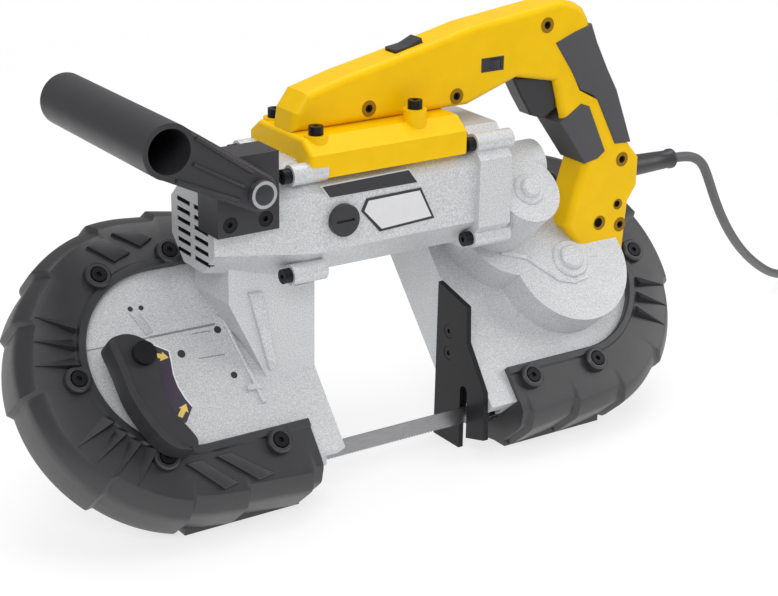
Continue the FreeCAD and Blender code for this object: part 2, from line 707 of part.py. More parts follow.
node("gearcase", cut("Gearcase", gearcase_outer, motor_shanks("CaseScrewHoles"), *gearcase_rooms))


def bearing(name, radius, base, axis, frame):
    outer = cylinder(name + "Outer", bearing_outer[radius], "bearing_width", base, axis, frame)
    bore = cylinder(name + "Bore", radius + d.running_gap, "bearing_width", base, axis, frame)
    return cut(name, outer, bore)


node("bearings", group(
    "Bearings",
    bearing("WheelBearingLow", d.wheel_shaft_radius, (half_span, 0, wheel_bearing_low), (0, 0, 1), TILT),
    bearing("WheelBearingHigh", d.wheel_shaft_radius, (half_span, 0, wheel_bearing_low + d.bearing_width),
            (0, 0, 1), TILT),
    bearing("PinionBearingLow", d.pinion_shaft_radius, (pinion_x, pinion_v, d.plate_face), (0, 0, 1),
            TILT),
    bearing("PinionBearingHigh", d.pinion_shaft_radius, (pinion_x, pinion_v, upper_bearing_w), (0, 0, 1),
            TILT),
    bearing("MotorBearingFront", d.armature_shaft_radius, (0, 0, cap_web - d.bearing_width), (0, 0, 1),
            MOTOR),
    bearing("MotorBearingRear", d.armature_shaft_radius, (0, 0, rear_bearing_x), (0, 0, 1), MOTOR),
    bearing("WormBearing", d.armature_shaft_radius, (0, 0, pinion_x + 14), (0, 0, 1), MOTOR),
))


# Wheels
def wheel_profile(bore):
    tyre_inner = d.wheel_diameter / 2 - d.tyre_thickness
    rim_inner = tyre_inner - d.rim_thickness
    web = d.web_thickness / 2
    rim = d.tyre_width / 2
    hub = d.hub_length / 2
    return [(bore, -hub), (d.hub_radius, -hub), (d.hub_radius, -web), (rim_inner, -web),
            (rim_inner, -rim), (tyre_inner, -rim), (tyre_inner, rim), (rim_inner, rim), (rim_inner, web),
            (d.hub_radius, web), (d.hub_radius, hub), (bore, hub)]


def tyre(name, x):
    outer = cylinder(name + "Outer", "wheel_diameter / 2", "tyre_width",
                     (x, 0, d.wheel_plane - d.tyre_width / 2), frame=TILT)
    inner = cylinder(name + "Inner", "wheel_diameter / 2 - tyre_thickness", "tyre_width",
                     (x, 0, d.wheel_plane - d.tyre_width / 2), frame=TILT)
    return cut(name, outer, inner)


def wheel(name, x, bore):
    """A cast wheel with six lightening holes in its web."""
    blank = turned(name + "Blank", wheel_profile(bore), at(TILT, x, 0, d.wheel_plane))
    holes = [cylinder(f"{name}Hole{i}", 11, 40, (x + 46 * math.cos(i * math.pi / 3),
                                                 46 * math.sin(i * math.pi / 3),
                                                 d.wheel_plane - 20), frame=TILT) for i in range(6)]
    return cut(name, blank, *holes)


node("drive_wheel", wheel("DriveWheel", half_span, d.wheel_shaft_radius))
node("drive_tyre", tyre("DriveTyre", half_span))
wheel_shaft_low = d.wheel_plane - d.hub_length / 2
node("wheel_shaft", cylinder("WheelShaft", "wheel_shaft_radius",
                             d.gear_level + d.gear_width - wheel_shaft_low,
                             (half_span, 0, wheel_shaft_low), frame=TILT))
idler_bearing_outer = d.axle_radius + d.running_gap + d.bearing_ring
node("idler_wheel", wheel("IdlerWheel", -half_span, idler_bearing_outer))
node("idler_tyre", tyre("IdlerTyre", -half_span))
idler_levels = (d.wheel_plane - d.hub_length / 2, d.wheel_plane + d.hub_length / 2 - d.bearing_width)
node("idler_bearings", group("IdlerBearings", *[
    cut(f"IdlerBearing{i}", cylinder(f"IdlerRing{i}", idler_bearing_outer, "bearing_width",
                                     (-half_span, 0, w), frame=TILT),
        cylinder(f"IdlerBore{i}", "axle_radius + running_gap", "bearing_width",
                 (-half_span, 0, w), frame=TILT))
    for i, w in enumerate(idler_levels)]))

# Tension slide with the idler's axle, its spring and its lever
slide_block = box("SlideBlock", (-half_span - 24, -slide_half, slide_low),
                  (-half_span + 30, slide_half, slide_high), TILT)
axle = cylinder("Axle", "axle_radius", slide_low + 1 - idler_levels[0], (-half_span, 0, idler_levels[0]),
                frame=TILT)
node("tension_slide", fuse("TensionSlide", slide_block, axle))
lever_outline = [(-22, 14), (-8, 18), (4, 10), (8, -30), (16, -64), (8, -72), (-6, -71), (-20, -50),
                 (-26, -18)]
LEVER = at(TILT, lever_x, lever_v, lever_low)
lever_body = pad("LeverBody", lever_outline, "lever_thickness", LEVER, top_round="lever_round")
lever_bore = cylinder("LeverBore", LEVER_SCREW_RADIUS + d.running_gap, 40, (0, 0, -5), frame=LEVER)
node("tension_lever", cut("TensionLever", lever_body, lever_bore))
lever_top = lever_low + d.lever_thickness
lever_rod = cylinder("LeverRod", LEVER_SCREW_RADIUS, lever_top + d.side_gap - plate_back,
                     (lever_x, lever_v, plate_back), frame=TILT)
lever_head = cylinder("LeverHead", 8, 3, (lever_x, lever_v, lever_top + d.side_gap), frame=TILT)
node("lever_screw", fuse("LeverScrew", lever_rod, lever_head))

# Blade guides: a block under each throat wall, with two rollers on pins beside the blade
roller_y = d.blade_thickness / 2 + d.blade_gap + d.roller_radius
roller_low = guide_low - 0.5 - d.roller_length
GUIDE_WIDTH = 34
for side, label in ((-1, "front"), (1, "rear")):
    ends = sorted((side * d.throat_half, side * (d.throat_half + guide_length)))
    block = box(label + "GuideBox", (ends[0], blade_run.y - GUIDE_WIDTH / 2, guide_low),
                (ends[1], blade_run.y + GUIDE_WIDTH / 2, guide_top))
    roller_x = side * (d.throat_half + guide_length / 2)
    pins = []
    for where, y in (("near", blade_run.y - roller_y), ("far", blade_run.y + roller_y)):
        pins.append(cylinder(f"{label}{where}Pin", "roller_pin_radius", guide_low - roller_low,
                             (roller_x, y, roller_low)))
        ring = cylinder(f"{label}{where}Ring", "roller_radius", "roller_length",
                        (roller_x, y, roller_low))
        hole = cylinder(f"{label}{where}Hole", "roller_pin_radius + running_gap", "roller_length",
                        (roller_x, y, roller_low))
        node(f"{label}_{where}_roller", cut(f"{label}{where}Roller", ring, hole))
    node(f"{label}_guide_block", fuse(label + "GuideBlock", block, *pins))


# Saw blade: a closed loop, square on the wheels and twisted upright through the throat
def blade_section(x, turn, middle):
    """A blade cross-section at x, turned about X from the wheels' slant."""
    corners = []
    for across, along in ((-1, -1), (1, -1), (1, 1), (-1, 1)):
        corners.append(Vector(x, across * d.blade_thickness / 2, along * d.blade_width / 2))
    wire = Part.makePolygon(corners + corners[:1])
    wire.rotate(Vector(x, 0, 0), Vector(1, 0, 0), turn)
    wire.translate(Vector(0, middle.y, middle.z))
    return wire


def toothed_run():
    """The upright run through the throat, with its teeth along the lower edge."""
    low = blade_run.z - d.blade_width / 2
    count = int(2 * upright_half // d.tooth_pitch)
    pitch = 2 * upright_half / count
    points = [Vector(-upright_half, 0, blade_top)]
    for i in range(count):
        points.append(Vector(-upright_half + i * pitch, 0, low))
        points.append(Vector(-upright_half + (i + 0.6) * pitch, 0, low + d.tooth_depth))
    points += [Vector(upright_half, 0, low), Vector(upright_half, 0, blade_top)]
    face = Part.Face(Part.makePolygon(points + points[:1]))
    face.translate(Vector(0, blade_run.y - d.blade_thickness / 2, 0))
    return face.extrude(Vector(0, d.blade_thickness, 0))


def blade():
    pieces = [toothed_run()]
    slant = 90 - d.lean
    for side in (-1, 1):
        first = blade_section(side * upright_half, 0, blade_run)
        steps = 4
        for i in range(1, steps + 1):
            x = upright_half + (slanted_from - upright_half) * i / steps
            second = blade_section(side * x, slant * i / steps, blade_run)
            pieces.append(Part.makeLoft([first, second], True, True))
            first = second
        tangent = blade_section(side * half_span, slant, blade_run)
        pieces.append(Part.makeLoft([first, tangent], True, True))
        ring = Part.makePolygon([Vector(0, r, w) for r, w in (
            (blade_radius - d.blade_thickness / 2, -d.blade_width / 2),
            (blade_radius + d.blade_thickness / 2, -d.blade_width / 2),
            (blade_radius + d.blade_thickness / 2, d.blade_width / 2),
            (blade_radius - d.blade_thickness / 2, d.blade_width / 2),
            (blade_radius - d.blade_thickness / 2, -d.blade_width / 2))])
        bend = Part.Face(ring).revolve(Vector(), Vector(0, 0, 1), -side * 180)
        bend.Placement = at(TILT, side * half_span, 0, d.wheel_plane)
        pieces.append(bend)
    top_corner = Vector(-half_span, blade_radius - d.blade_thickness / 2, d.wheel_plane - d.blade_width / 2)
    top = Part.makeBox(2 * half_span, d.blade_thickness, d.blade_width, top_corner)
    top.Placement = TILT.multiply(top.Placement)
    pieces.append(top)
    return pieces[0].fuse(pieces[1:]).removeSplitter()


node("saw_blade", computed("SawBlade", blade()))


# Rubber bumpers round the housings, each with a flat sole to stand on
SOLE_NEAR = -58


def bumper(name, side, end, top_end):
    def outline(radius):
        return housing_outline(side, radius, end)

    slope_w = bumper_face - d.bumper_slope
    small = d.bumper_radius - d.bumper_edge
    ring = [
        loft(name + "FarSlope", outline(small), bumper_low, outline(d.bumper_radius), -slope_w, TILT),
        pad(name + "Middle", outline(d.bumper_radius), 2 * slope_w, TILT, -slope_w),
        loft(name + "NearSlope", outline(d.bumper_radius), slope_w, outline(small), bumper_face, TILT),
    ]
    centre = side * half_span
    sole_x = sorted((side * (end + 4), side * (end + d.heel_length)))
    sole = box(name + "Sole", (sole_x[0], SOLE_NEAR, 0), (sole_x[1], d.heel_reach, d.heel_height))
    room = pad(name + "Room", housing_outline(side, d.pan_radius, 0), d.plate_face - bumper_low + 1, TILT,
               bumper_low - 1)
    window = pad(name + "Window", housing_outline(side, d.bumper_inner_radius, 0), 40, TILT,
                 d.plate_face - 1)
    top_x = sorted((0, side * top_end))
    top = box(name + "TopEnd", (top_x[0], 0, -60), (top_x[1], 200, 60), TILT)
    treads = []
    for i in range(int(d.tread_count)):
        angle = (180 if side < 0 else 0) - side * (-78 + 156 * i / (d.tread_count - 1))
        spoke = at(TILT, centre, 0, 0).multiply(Placement(Vector(), Rotation(Vector(0, 0, 1), angle)))
        skew = spoke.multiply(Placement(Vector(d.bumper_radius, 0, slope_w),
                                        Rotation(Vector(1, 0, 0), 28)))
        half_tread = d.tread_width / 2
        treads.append(box(f"{name}Tread{i}", (-d.tread_depth, -half_tread, -16), (10, half_tread, 20),
                          skew))
    return cut(name, fuse(name + "Blank", *ring, sole), room, window, top, bumper_shanks(name + "Holes"),
               *treads)


node("front_bumper", bumper("FrontBumper", -1, d.front_bumper_end, 117))
node("rear_bumper", bumper("RearBumper", 1, d.rear_bumper_end + 24, 165))
node("bumper_screws", group("BumperScrews", *[
    screw(f"BumperScrew{i}", "screw_head_radius", "screw_head_height", BUMPER_SCREW_LENGTH, frame)
    for i, frame in enumerate(bumper_screw_frames)]))
node("motor_screws", group("MotorScrews", *[
    screw(f"MotorScrew{i}", "screw_head_radius", "cap_head_height", MOTOR_SCREW_LENGTH, frame)
    for i, frame in enumerate(motor_screw_frames)]))

# Work stop: a plate square to the blade, slotted for it, with a long far leg down to the floor
slot_near, slot_far = blade_run.y - 4.3, blade_run.y + 4.3
slot_round = blade_top + 12
stop_outline = [
    (-10, 0), (-12, 120), (-47, 111), (-48, 84), (-70, 53), (-72, 17), (slot_near, 11),
    (slot_near, slot_round), (slot_far, slot_round, blade_run.y, slot_round + 4.3), (slot_far, 0),
]
stop_plate = pad("StopPlate", stop_outline, "stop_thickness", AXIAL, stop_face)
stop_sinks = [cylinder(f"StopSink{i}", "screw_head_radius + 0.3", 10, (0, 0, 0), frame=frame)
              for i, frame in enumerate(stop_screw_frames)]
node("work_stop", cut("WorkStop", stop_plate, stop_shanks("StopHoles"), *stop_sinks))
node("work_stop_screws", group("WorkStopScrews", *[
    screw(f"StopScrew{i}", "screw_head_radius", STOP_HEAD_HEIGHT, STOP_SCREW_LENGTH, frame)
    for i, frame in enumerate(stop_screw_frames)]))


# Handle: a saddle on the motor, two shells that meet in the middle and a rubber grip
def raised(points):
    """Outline points given about the motor's axis."""
    return [(p[0], p[1] + d.motor_z, *([p[2], p[3] + d.motor_z] if len(p) == 4 else [])) for p in points]


half_motor = d.motor_width / 2
base_top = half_motor + d.base_height
base_outline = [(-half_motor, half_motor - 10), (half_motor, half_motor - 10), (half_motor, base_top - 9),
                (d.base_width / 2 - 8, base_top), (8 - d.base_width / 2, base_top),
                (-half_motor, base_top - 9)]
BASE_END_GAP = 8
base_block = pad("BaseBlock", base_outline, d.motor_rear - BASE_END_GAP - d.motor_front, MOTOR,
                 d.motor_front, "edge_round", "edge_round")
base_bosses = [cylinder(f"BaseBoss{i}", 8, 30, (0, 0, -30), frame=frame)
               for i, frame in enumerate(base_screw_frames)]
node("handle_base", cut("HandleBase", fuse("BaseBlank", base_block, *base_bosses), motor_blank,
                        base_shanks("BaseHoles")))
node("handle_base_screws", group("BaseScrews", *[
    screw(f"BaseScrew{i}", "screw_head_radius", "cap_head_height", BASE_SCREW_LENGTH, frame)
    for i, frame in enumerate(base_screw_frames)]))

shell_outline = raised([
    (-76, base_top), (-74, 68), (-65, 80), (-34, 88), (10, 97), (67, 110), (139, 119), (170, 105, 158, 117),
    (176, 90), (187, 69), (197, 51), (213, 9), (226, -6), (226, -28), (218, -40), (215, -80), (181, -82),
    (158, -50), (166, -24), (173, -2), (151, 31), (142, 62), (108, 69), (66, base_top),
])
cavity_outline = raised([
    (-56, base_top + 5), (-52, 76), (10, 93), (66, 106), (138, 115), (152, 110), (156, 98), (150, 77),
    (108, 74), (64, base_top + 5),
])
palm_pad = raised([(140, 121), (170, 107, 160, 119), (179, 88), (190, 66), (200, 49), (216, 7), (200, 8),
                   (181, 44), (164, 53), (154, 72)])
finger_pad = raised([(147, 31), (166, 43), (174, 40), (191, 4), (184, -1), (172, -3)])
half_handle = d.handle_width / 2
near_face = d.motor_y - half_handle
HANDLE_SCREW_SPOTS = ((-17, 64), (55, 63), (132, 104), (208, -5), (209.5, -56))
HANDLE_SCREW_LENGTH = 18
HEAD_SUNK = 3.8
handle_screw_frames = [at(Placement(), x, near_face + HEAD_SUNK, z + d.motor_z, (0, -1, 0))
                       for x, z in HANDLE_SCREW_SPOTS]


def centred(name, outline, width, rounding=0):
    return pad(name, outline, width, SIDE, -d.motor_y - width / 2, rounding, rounding)


rocker_x = 20
rocker_z = d.motor_z + 97 + 13 * (rocker_x - 10) / 57
rocker_slope = math.degrees(math.atan2(13, 57))
ROCKER = Placement(Vector(rocker_x, d.motor_y, rocker_z), Rotation(Vector(0, 1, 0), -rocker_slope))
half_rocker = d.rocker_length / 2
dial_x, dial_z = 87, d.motor_z + 82
dial_y = near_face + d.dial_radius - 1.4
trigger_outline = raised([(108, 68), (148, 68), (148, 40), (138, 34), (126, 38), (117, 52)])


def shell(name, level, near_round, far_round):
    body = pad(name + "Body", shell_outline, "handle_width / 2", SIDE, level, near_round, far_round)
    pocket = box(name + "Pocket", (103, d.motor_y - d.trigger_width / 2 - 0.4, d.motor_z + 28),
                 (148 + d.trigger_travel + 3, d.motor_y + d.trigger_width / 2 + 0.4, d.motor_z + 71))
    rocker_room = box(name + "RockerRoom", (-half_rocker - 0.8, -d.rocker_width / 2 - 0.4, -9),
                      (half_rocker + 0.8, d.rocker_width / 2 + 0.4, 9), ROCKER)
    dial_room = cylinder(name + "DialRoom", "dial_radius + 0.4", "dial_width + 0.8",
                         (dial_x, dial_y, dial_z - d.dial_width / 2 - 0.4))
    sinks = [cylinder(f"{name}Sink{i}", "screw_head_radius + 0.3", 10, (0, 0, 0), frame=frame)
             for i, frame in enumerate(handle_screw_frames)]
    shanks = [shank_tool(f"{name}Shank{i}", HANDLE_SCREW_LENGTH, frame)
              for i, frame in enumerate(handle_screw_frames)]
    cavity = centred(name + "Cavity", cavity_outline, d.handle_width - 2 * d.handle_wall)
    grip_rooms = [centred(f"{name}GripRoom{i}", outline, d.handle_width + 10)
                  for i, outline in enumerate((palm_pad, finger_pad))]
    under_plate = box(name + "UnderPlate", (0, -300, -300), (300, 300, d.plate_face), TILT)
    return cut(name, body, pocket, rocker_room, dial_room, cavity, *grip_rooms, under_plate, gearcase_outer,
               NODES["rear_bumper"], *sinks, *shanks)


node("handle_shell_near", shell("ShellNear", -d.motor_y, "shell_round", 0))
node("handle_shell_far", shell("ShellFar", -d.motor_y - half_handle, 0, "shell_round"))
node("rear_grip", group("RearGrip", *[
    centred(f"GripPad{i}", outline, d.handle_width + 2 * d.grip_proud, "grip_proud")
    for i, outline in enumerate((palm_pad, finger_pad))]))
node("handle_screws", group("HandleScrews", *[
    screw(f"HandleScrew{i}", "screw_head_radius", "screw_head_height", HANDLE_SCREW_LENGTH, frame)
    for i, frame in enumerate(handle_screw_frames)]))
node("trigger", centred("Trigger", trigger_outline, d.trigger_width, "edge_round"))
rocker_outline = [(-half_rocker, -6), (half_rocker, -6), (half_rocker, 3.4), (0, 1.2),
                  (-half_rocker, 2.2)]
node("rocker_switch", pad("RockerSwitch", rocker_outline, "rocker_width", ROCKER.multiply(SIDE),
                          -d.rocker_width / 2))
node("speed_dial", cylinder("SpeedDial", "dial_radius", "dial_width",
                            (dial_x, dial_y, dial_z - d.dial_width / 2)))
node("switch_module", box("SwitchModule", (110, d.motor_y - 9, d.motor_z + 77.4),
                          (146, d.motor_y + 9, d.motor_z + 96)))

# Front handle: an open tube on an arm, pivoted on a bracket at the motor's end cap
pivot_x, pivot_z = -124, d.motor_z + 33
tube_x, tube_z = -187, d.motor_z + 69
arm_back = bracket_face - 0.3
arm_front = arm_back - d.arm_thickness
bracket_block = box("BracketBlock", (-147, bracket_face, d.motor_z + 2),
                    (-102, bracket_face + 26, d.motor_z + 54))
bracket_sinks = [cylinder(f"BracketSink{i}", "screw_head_radius + 0.3", 10, (0, 0, 0), frame=frame)
                 for i, frame in enumerate(bracket_screw_frames)]
pivot_hole = cylinder("PivotHole", "pivot_radius", 100, (pivot_x, bracket_face - 50, pivot_z), (0, 1, 0))
node("handle_bracket", cut("HandleBracket", bracket_block, cap_blank, pivot_hole, *bracket_sinks,
                           bracket_shanks("BracketHoles")))
node("handle_bracket_screws", group("BracketScrews", *[
    screw(f"BracketScrew{i}", "screw_head_radius", "screw_head_height", BRACKET_SCREW_LENGTH, frame)
    for i, frame in enumerate(bracket_screw_frames)]))


def arm_outline():
    pivot, tube = Vector(pivot_x, pivot_z), Vector(tube_x, tube_z)
    along = (tube - pivot).normalize()
    across = Vector(-along.y, along.x)
    knuckle = 13
    a, b = pivot + across * knuckle, pivot - across * knuckle
    c, e = tube - across * d.tube_radius, tube + across * d.tube_radius
    back, front = pivot - along * knuckle, tube + along * d.tube_radius
    return [(a.x, a.y), (b.x, b.y, back.x, back.y), (c.x, c.y), (e.x, e.y, front.x, front.y)]


arm = pad("HandleArm", arm_outline(), "arm_thickness", SIDE, -arm_back, "edge_round")
tube = cylinder("HandleTube", "tube_radius", "tube_length", (tube_x, arm_front, tube_z), (0, 1, 0))
tube_bore = cylinder("HandleTubeBore", "tube_radius - tube_wall", d.tube_length - d.tube_wall,
                     (tube_x, arm_front, tube_z), (0, 1, 0))
arm_bore = cylinder("ArmBore", "pivot_radius + running_gap", 40, (pivot_x, arm_front - 10, pivot_z),
                    (0, 1, 0))
node("front_handle", cut("FrontHandle", fuse("FrontHandleBlank", arm, tube), tube_bore, arm_bore))
bolt_rod = cylinder("BoltRod", "pivot_radius", d.arm_thickness + 0.6 + 12,
                    (pivot_x, arm_front - 0.3, pivot_z), (0, 1, 0))
bolt_head = cylinder("BoltHead", 9, 5, (pivot_x, arm_front - 5.3, pivot_z), (0, 1, 0))
node("handle_pivot_bolt", fuse("PivotBolt", bolt_rod, bolt_head))

# Mains cord with its strain relief, put-away coil and plug
cord_radius = d.cord_diameter / 2
relief_x, relief_z = 226, d.motor_z - 17
relief = doc.addObject("Part::Cone", "StrainRelief")
bind(relief, Radius1="cord_diameter / 2 + 4.2", Radius2="cord_diameter / 2 + 1.2", Height="relief_length")
relief.Placement = at(Placement(), relief_x, d.motor_y, relief_z, (1, 0, 0))
node("strain_relief", relief)
cord_start = Vector(relief_x + d.relief_length, d.motor_y, relief_z)
CORD_ROUTE = [
    cord_start, Vector(284, -17.8, 181.6), Vector(296.4, -16.1, 178), Vector(307.1, -12.6, 171.5),
    Vector(316.5, -8.2, 162.1), Vector(327.1, -3, 148.5), Vector(340.4, 3.5, 130.9), Vector(358.5, 12.3, 110),
    Vector(381.6, 23.6, 87.7), Vector(409.2, 37.1, 65.4), Vector(441.6, 52.9, 43.8),
    Vector(475.2, 69.3, 24.7), Vector(505.4, 84, 11.8), Vector(529, 95.5, 5.5),
    Vector(548.7, 105.1, cord_radius),
]


def cord_path(points):
    """Straight runs joined by the largest tangent arcs that the runs allow; prints the radii."""
    pieces, radii = [], []
    start = points[0]
    for before, corner, after in zip(points, points[1:], points[2:]):
        first, second = before - corner, after - corner
        turn = math.pi - first.getAngle(second)
        reach = 0.45 * min(first.Length, second.Length)
        radii.append(reach / math.tan(turn / 2))
        into, out = corner + first.normalize() * reach, corner + second.normalize() * reach
        bisector = (first + second).normalize()
        middle = corner + bisector * (radii[-1] / math.cos(turn / 2) - radii[-1])
        pieces += [Part.LineSegment(start, into).toShape(), Part.Arc(into, middle, out).toShape()]
        start = out
    pieces.append(Part.LineSegment(start, points[-1]).toShape())
    print("cord radii", [round(r) for r in radii])
    return Part.Wire(pieces)


path = cord_path(CORD_ROUTE)
ring = Part.Wire(Part.Circle(cord_start, Vector(1, 0, 0), cord_radius).toShape())
cord_solid = path.makePipeShell([ring], True, True)
print("cord volume over section times length",
      cord_solid.Volume / (math.pi * cord_radius ** 2 * path.Length))
node("power_cord", computed("PowerCord", cord_solid))
# The coil's outer turn takes up the cord where it comes in along the floor, and the tail leaves its top turn
lead_in = CORD_ROUTE[-1] - CORD_ROUTE[-2]
lead_in = Vector(lead_in.x, lead_in.y, 0).normalize()
COIL_TOUCH = 3
coil_outer = d.coil_radius + 2 * d.cord_diameter
outer_turn = d.coil_radius + 1.5 * d.cord_diameter
coil_reach = math.sqrt((coil_outer + COIL_TOUCH) ** 2 - outer_turn ** 2)
coil_x = CORD_ROUTE[-1].x + lead_in.x * coil_reach + lead_in.y * outer_turn
coil_y = CORD_ROUTE[-1].y + lead_in.y * coil_reach - lead_in.x * outer_turn
coil_ring = cylinder("CoilRing", "coil_radius + 2 * cord_diameter", "2 * cord_diameter", (coil_x, coil_y, 0))
coil_hole = cylinder("CoilHole", "coil_radius - 2 * cord_diameter", "2 * cord_diameter", (coil_x, coil_y, 0))
TAIL_LENGTH = 50
TAIL_INSET = 0.8
tail_x = coil_x + outer_turn - TAIL_INSET
tail_z = 3 * cord_radius - TAIL_INSET
coil_tail = cylinder("CoilTail", cord_radius, TAIL_LENGTH, (tail_x, coil_y, tail_z), (0, -1, 0))
node("cord_coil", fuse("CordCoil", cut("CoilBody", coil_ring, coil_hole), coil_tail))
PLUG_RADIUS, PLUG_LENGTH = 17, 40
plug_y = coil_y - TAIL_LENGTH
node("plug_body", cylinder("PlugBody", PLUG_RADIUS, PLUG_LENGTH, (tail_x, plug_y, PLUG_RADIUS),
                           (0, -1, 0)))
PIN_SPACING, PIN_RADIUS, PIN_LENGTH = 19, 2.4, 19
node("plug_pins", group("PlugPins", *[
    cylinder(f"PlugPin{i}", PIN_RADIUS, PIN_LENGTH, (tail_x + side * PIN_SPACING / 2,
                                                     plug_y - PLUG_LENGTH, PLUG_RADIUS), (0, -1, 0))
    for i, side in enumerate((-1, 1))]))

# Check every object, then write the parts
doc.recompute()
failed = [obj.Name for obj in doc.Objects if "Invalid" in obj.State or "Error" in obj.State]
if failed:
    raise RuntimeError(f"failed objects: {failed}")
for label, obj in NODES.items():
    if obj.Shape.isNull() or not obj.Shape.isValid():
        raise RuntimeError(f"{label} has no valid shape")
os.makedirs("parts", exist_ok=True)
for label, obj in NODES.items():
    obj.Shape.exportStep(f"parts/{label}.step")
    print(label, len(obj.Shape.Solids), round(obj.Shape.Volume))
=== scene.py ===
import json
import math

import bmesh
import bpy
from mathutils import Matrix, Vector


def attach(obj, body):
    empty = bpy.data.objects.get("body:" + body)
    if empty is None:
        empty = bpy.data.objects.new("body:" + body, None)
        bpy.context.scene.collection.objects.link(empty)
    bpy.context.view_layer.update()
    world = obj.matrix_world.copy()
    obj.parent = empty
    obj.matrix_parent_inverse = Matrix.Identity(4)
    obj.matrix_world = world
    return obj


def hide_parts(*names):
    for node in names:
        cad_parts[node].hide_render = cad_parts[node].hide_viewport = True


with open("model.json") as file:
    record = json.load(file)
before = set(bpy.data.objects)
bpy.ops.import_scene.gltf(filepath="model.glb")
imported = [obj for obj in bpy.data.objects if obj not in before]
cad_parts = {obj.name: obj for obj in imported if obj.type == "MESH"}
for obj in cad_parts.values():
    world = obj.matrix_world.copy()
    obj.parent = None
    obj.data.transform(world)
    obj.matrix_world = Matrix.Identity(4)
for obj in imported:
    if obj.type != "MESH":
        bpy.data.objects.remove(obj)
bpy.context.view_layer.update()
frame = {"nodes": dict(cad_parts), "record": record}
nodes = frame["nodes"]
MM = 0.001

# The wheel housings lean back by LEAN; x runs along the blade, v up the leaning plates, w out of them
LEAN = math.radians(41)
WHEEL_LEVEL = 94
HALF_SPAN = 158.355
PLATE_FACE = 24
MOTOR_Y = -18
MOTOR_Z = 199


def lean(x, v, w):
    """A point of the leaning housings, given in millimetres."""
    y = v * math.sin(LEAN) - w * math.cos(LEAN)
    z = WHEEL_LEVEL + v * math.cos(LEAN) + w * math.sin(LEAN)
    return Vector((x, y, z)) * MM


def upright(x, z, out):
    """A point of the upright handle plane; out is toward the user."""
    return Vector((x, MOTOR_Y - out, MOTOR_Z + z)) * MM


# Shader maths

class Value:
    """A shader output that numbers can scale and shift."""

    def __init__(self, finish, socket):
        self.finish = finish
        self.socket = socket

    def math(self, operation, first, second):
        return self.finish.node("Math", {"operation": operation}, {0: first, 1: second})

    def __radd__(self, other):
        return self.math("ADD", other, self)

    def __rmul__(self, other):
        return self.math("MULTIPLY", other, self)


class Finish:
    """One material and the nodes that colour it."""

    def __init__(self, name):
        self.material = bpy.data.materials.new(name)
        self.material.use_nodes = True
        self.tree = self.material.node_tree
        self.shader = self.tree.nodes["Principled BSDF"]
        self.place = self.node("TexCoord", output="Object")

    def feed(self, socket, value):
        if isinstance(value, Value):
            self.tree.links.new(value.socket, socket)
        else:
            socket.default_value = value

    def node(self, kind, settings=None, inputs=None, output=0):
        made = self.tree.nodes.new("ShaderNode" + kind)
        for key, value in (settings or {}).items():
            if key == "stops":
                ramp = made.color_ramp.elements
                for element, (at, level) in zip(ramp, value):
                    element.position = at
                    element.color = (level, level, level, 1)
            else:
                setattr(made, key, value)
        for key, value in (inputs or {}).items():
            self.feed(made.inputs[key], value)
        return Value(self, made.outputs[output])

    def noise(self, grain_mm, detail=2.0, stretch=None):
        """Noise from 0 to 1 whose grains are about that many millimetres."""
        place = self.place
        if stretch:
            place = self.node("VectorMath", {"operation": "MULTIPLY"}, {0: place, 1: stretch})
        return self.node("TexNoise", None, {"Vector": place, "Scale": 1 / (grain_mm * MM), "Detail": detail})

    def ramp(self, value, low, high):
        """0 below low, 1 above high."""
        return self.node("ValToRGB", {"stops": ((low, 0), (high, 1))}, {"Fac": value})

    def blend(self, share, first, second):
        first = first if isinstance(first, Value) else (*first, 1)
        second = second if isinstance(second, Value) else (*second, 1)
        return self.node("Mix", {"data_type": "RGBA"}, {0: share, 6: first, 7: second}, output=2)

    def bump(self, height, depth_mm, strength):
        return self.node("Bump", None, {"Strength": strength, "Distance": depth_mm * MM, "Height": height})

    def surface(self, **sockets):
        for name, value in sockets.items():
            self.feed(self.shader.inputs[name.replace("_", " ")], value)
        return self.material


def cast_aluminium(name, tone=1.0):
    """Blasted die casting: pale grey with fine bright and dark flecks."""
    f = Finish(name)
    fleck = f.noise(0.9, 2)
    patch = f.noise(14, 2)
    pale = [c * tone for c in (0.63, 0.64, 0.655)]
    dark = [c * tone for c in (0.49, 0.50, 0.515)]
    bright = [c * tone for c in (0.77, 0.78, 0.795)]
    colour = f.blend(f.ramp(fleck, 0.34, 0.52), dark, pale)
    colour = f.blend(f.ramp(fleck, 0.54, 0.70), colour, bright)
    colour = f.blend(0.16 * f.ramp(patch, 0.35, 0.75), colour, dark)
    fine = f.noise(0.5, 2)
    return f.surface(Base_Color=colour, Metallic=0.25, Roughness=0.36 + 0.2 * fine,
                     Normal=f.bump(fleck, 0.06, 0.4))


def moulded(name, colour, grain_mm=0.6, roughness=0.4, depth_mm=0.03, worn=0.08, gloss=0.4):
    """Moulded plastic or rubber with a fine spark-eroded grain."""
    f = Finish(name)
    grain = f.noise(grain_mm, 2)
    cloud = f.noise(14, 3)
    lighter = [min(1, c + worn * (0.35 + c)) for c in colour]
    darker = [c * 0.94 for c in colour]
    tint = f.blend(f.ramp(cloud, 0.3, 0.7), darker, colour)
    tint = f.blend(0.5 * f.ramp(grain, 0.5, 0.75), tint, lighter)
    return f.surface(Base_Color=tint, Roughness=(roughness - 0.06) + 0.12 * cloud, Specular_IOR_Level=gloss,
                     Normal=f.bump(grain, depth_mm, 0.6))


